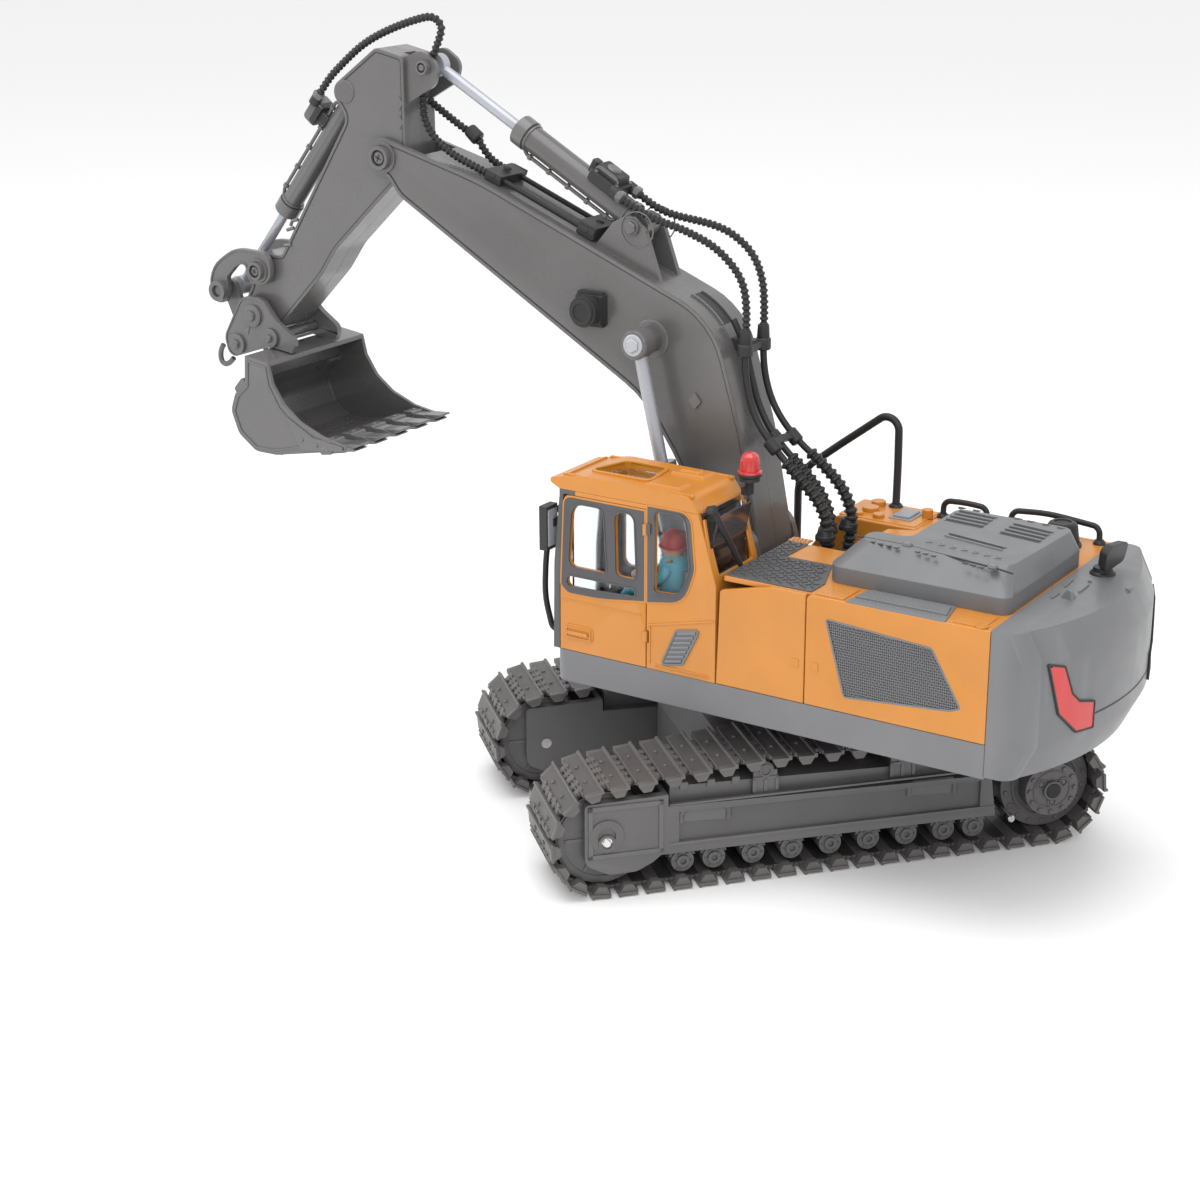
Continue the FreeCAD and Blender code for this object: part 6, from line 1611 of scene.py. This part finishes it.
def add_bucket():
    """The bucket's side rims, wear strips, cutting edge and five teeth."""
    bucket = Form()
    side_line = arc_points([(232.4, 150.2), (222.6, 148.8), (221.4, 141.2), (216.2, 132.6), (208, 126),
        (199, 122.4), (198, 119.4), (220.2, 113.9), (229.8, 113.9), (237.8, 119.6), (241, 127.9),
        (238.4, 134.6), (233.2, 139.4)])
    for side in (1, -1):
        bucket.border(side_line, 0.7, side * 30.8, side * 31.45)
        bucket.prism([(213, 129.6), (199.5, 122.8), (184.2, 121), (184.2, 119.4), (199, 117.2),
            (206, 116.6)], side * 30.8, side * 31.7)
        for x, z in ((205, 121), (197.5, 119.8)):
            bucket.bolt((x, side * 31.6, z), (0, side, 0), 1.8, 0.6)
        bucket.prism([(236, 142.6, 1), (240.6, 137.4, 1), (238.2, 134, 1), (233, 138.8, 1)], side * 22,
            side * 30.8)
    # wear strips under the bucket and the cutting edge's plate
    for k in range(7):
        y = (k - 3) * 8.6
        bucket.beam((232.5, y, 113), (219.6, y, 111.9), 3.2, 0.7, (0, 0, -1), sunk=0.3)
    bucket.prism([(198, 116.9), (183.4, 119.9), (183.4, 120.7), (198, 118.4)], -31, 31)
    for k in range(5):
        y = (k - 2) * 13.4
        bucket.prism([(196, 116.6), (186, 118.6), (178.6, 119.8), (178.6, 120.4), (186, 121.9),
            (196, 121.4)], y - 3.9, y + 3.9)
        bucket.prism([(196, 115.9, 1), (190, 117, 1), (190, 122.6, 1), (196, 122.2, 1)], y - 4.5, y + 4.5)
        bucket.bolt((193, y, 122.3), UP, 1.9, 0.5)
    bucket.done("bucket_edges_and_teeth", "bucket", "arm_grey", bevel=0.2)


add_boom_rims()
add_stick_rims()
add_pin_heads()
add_lift_eyes()
add_work_lamp()
add_boom_back()
add_pipe_clamps()
add_stick_cylinder()
add_bucket_cylinder()
add_lift_cylinders()
add_lever()
add_coupler()
add_bucket()

# CAD nodes that are still shown take their slot's material
for name, node in frame["nodes"].items():
    if not node.hide_render:
        node.data.materials.clear()
        node.data.materials.append(MATERIAL[SLOT_OF[name]])

# ---------------------------------------------------------------- finish

import json
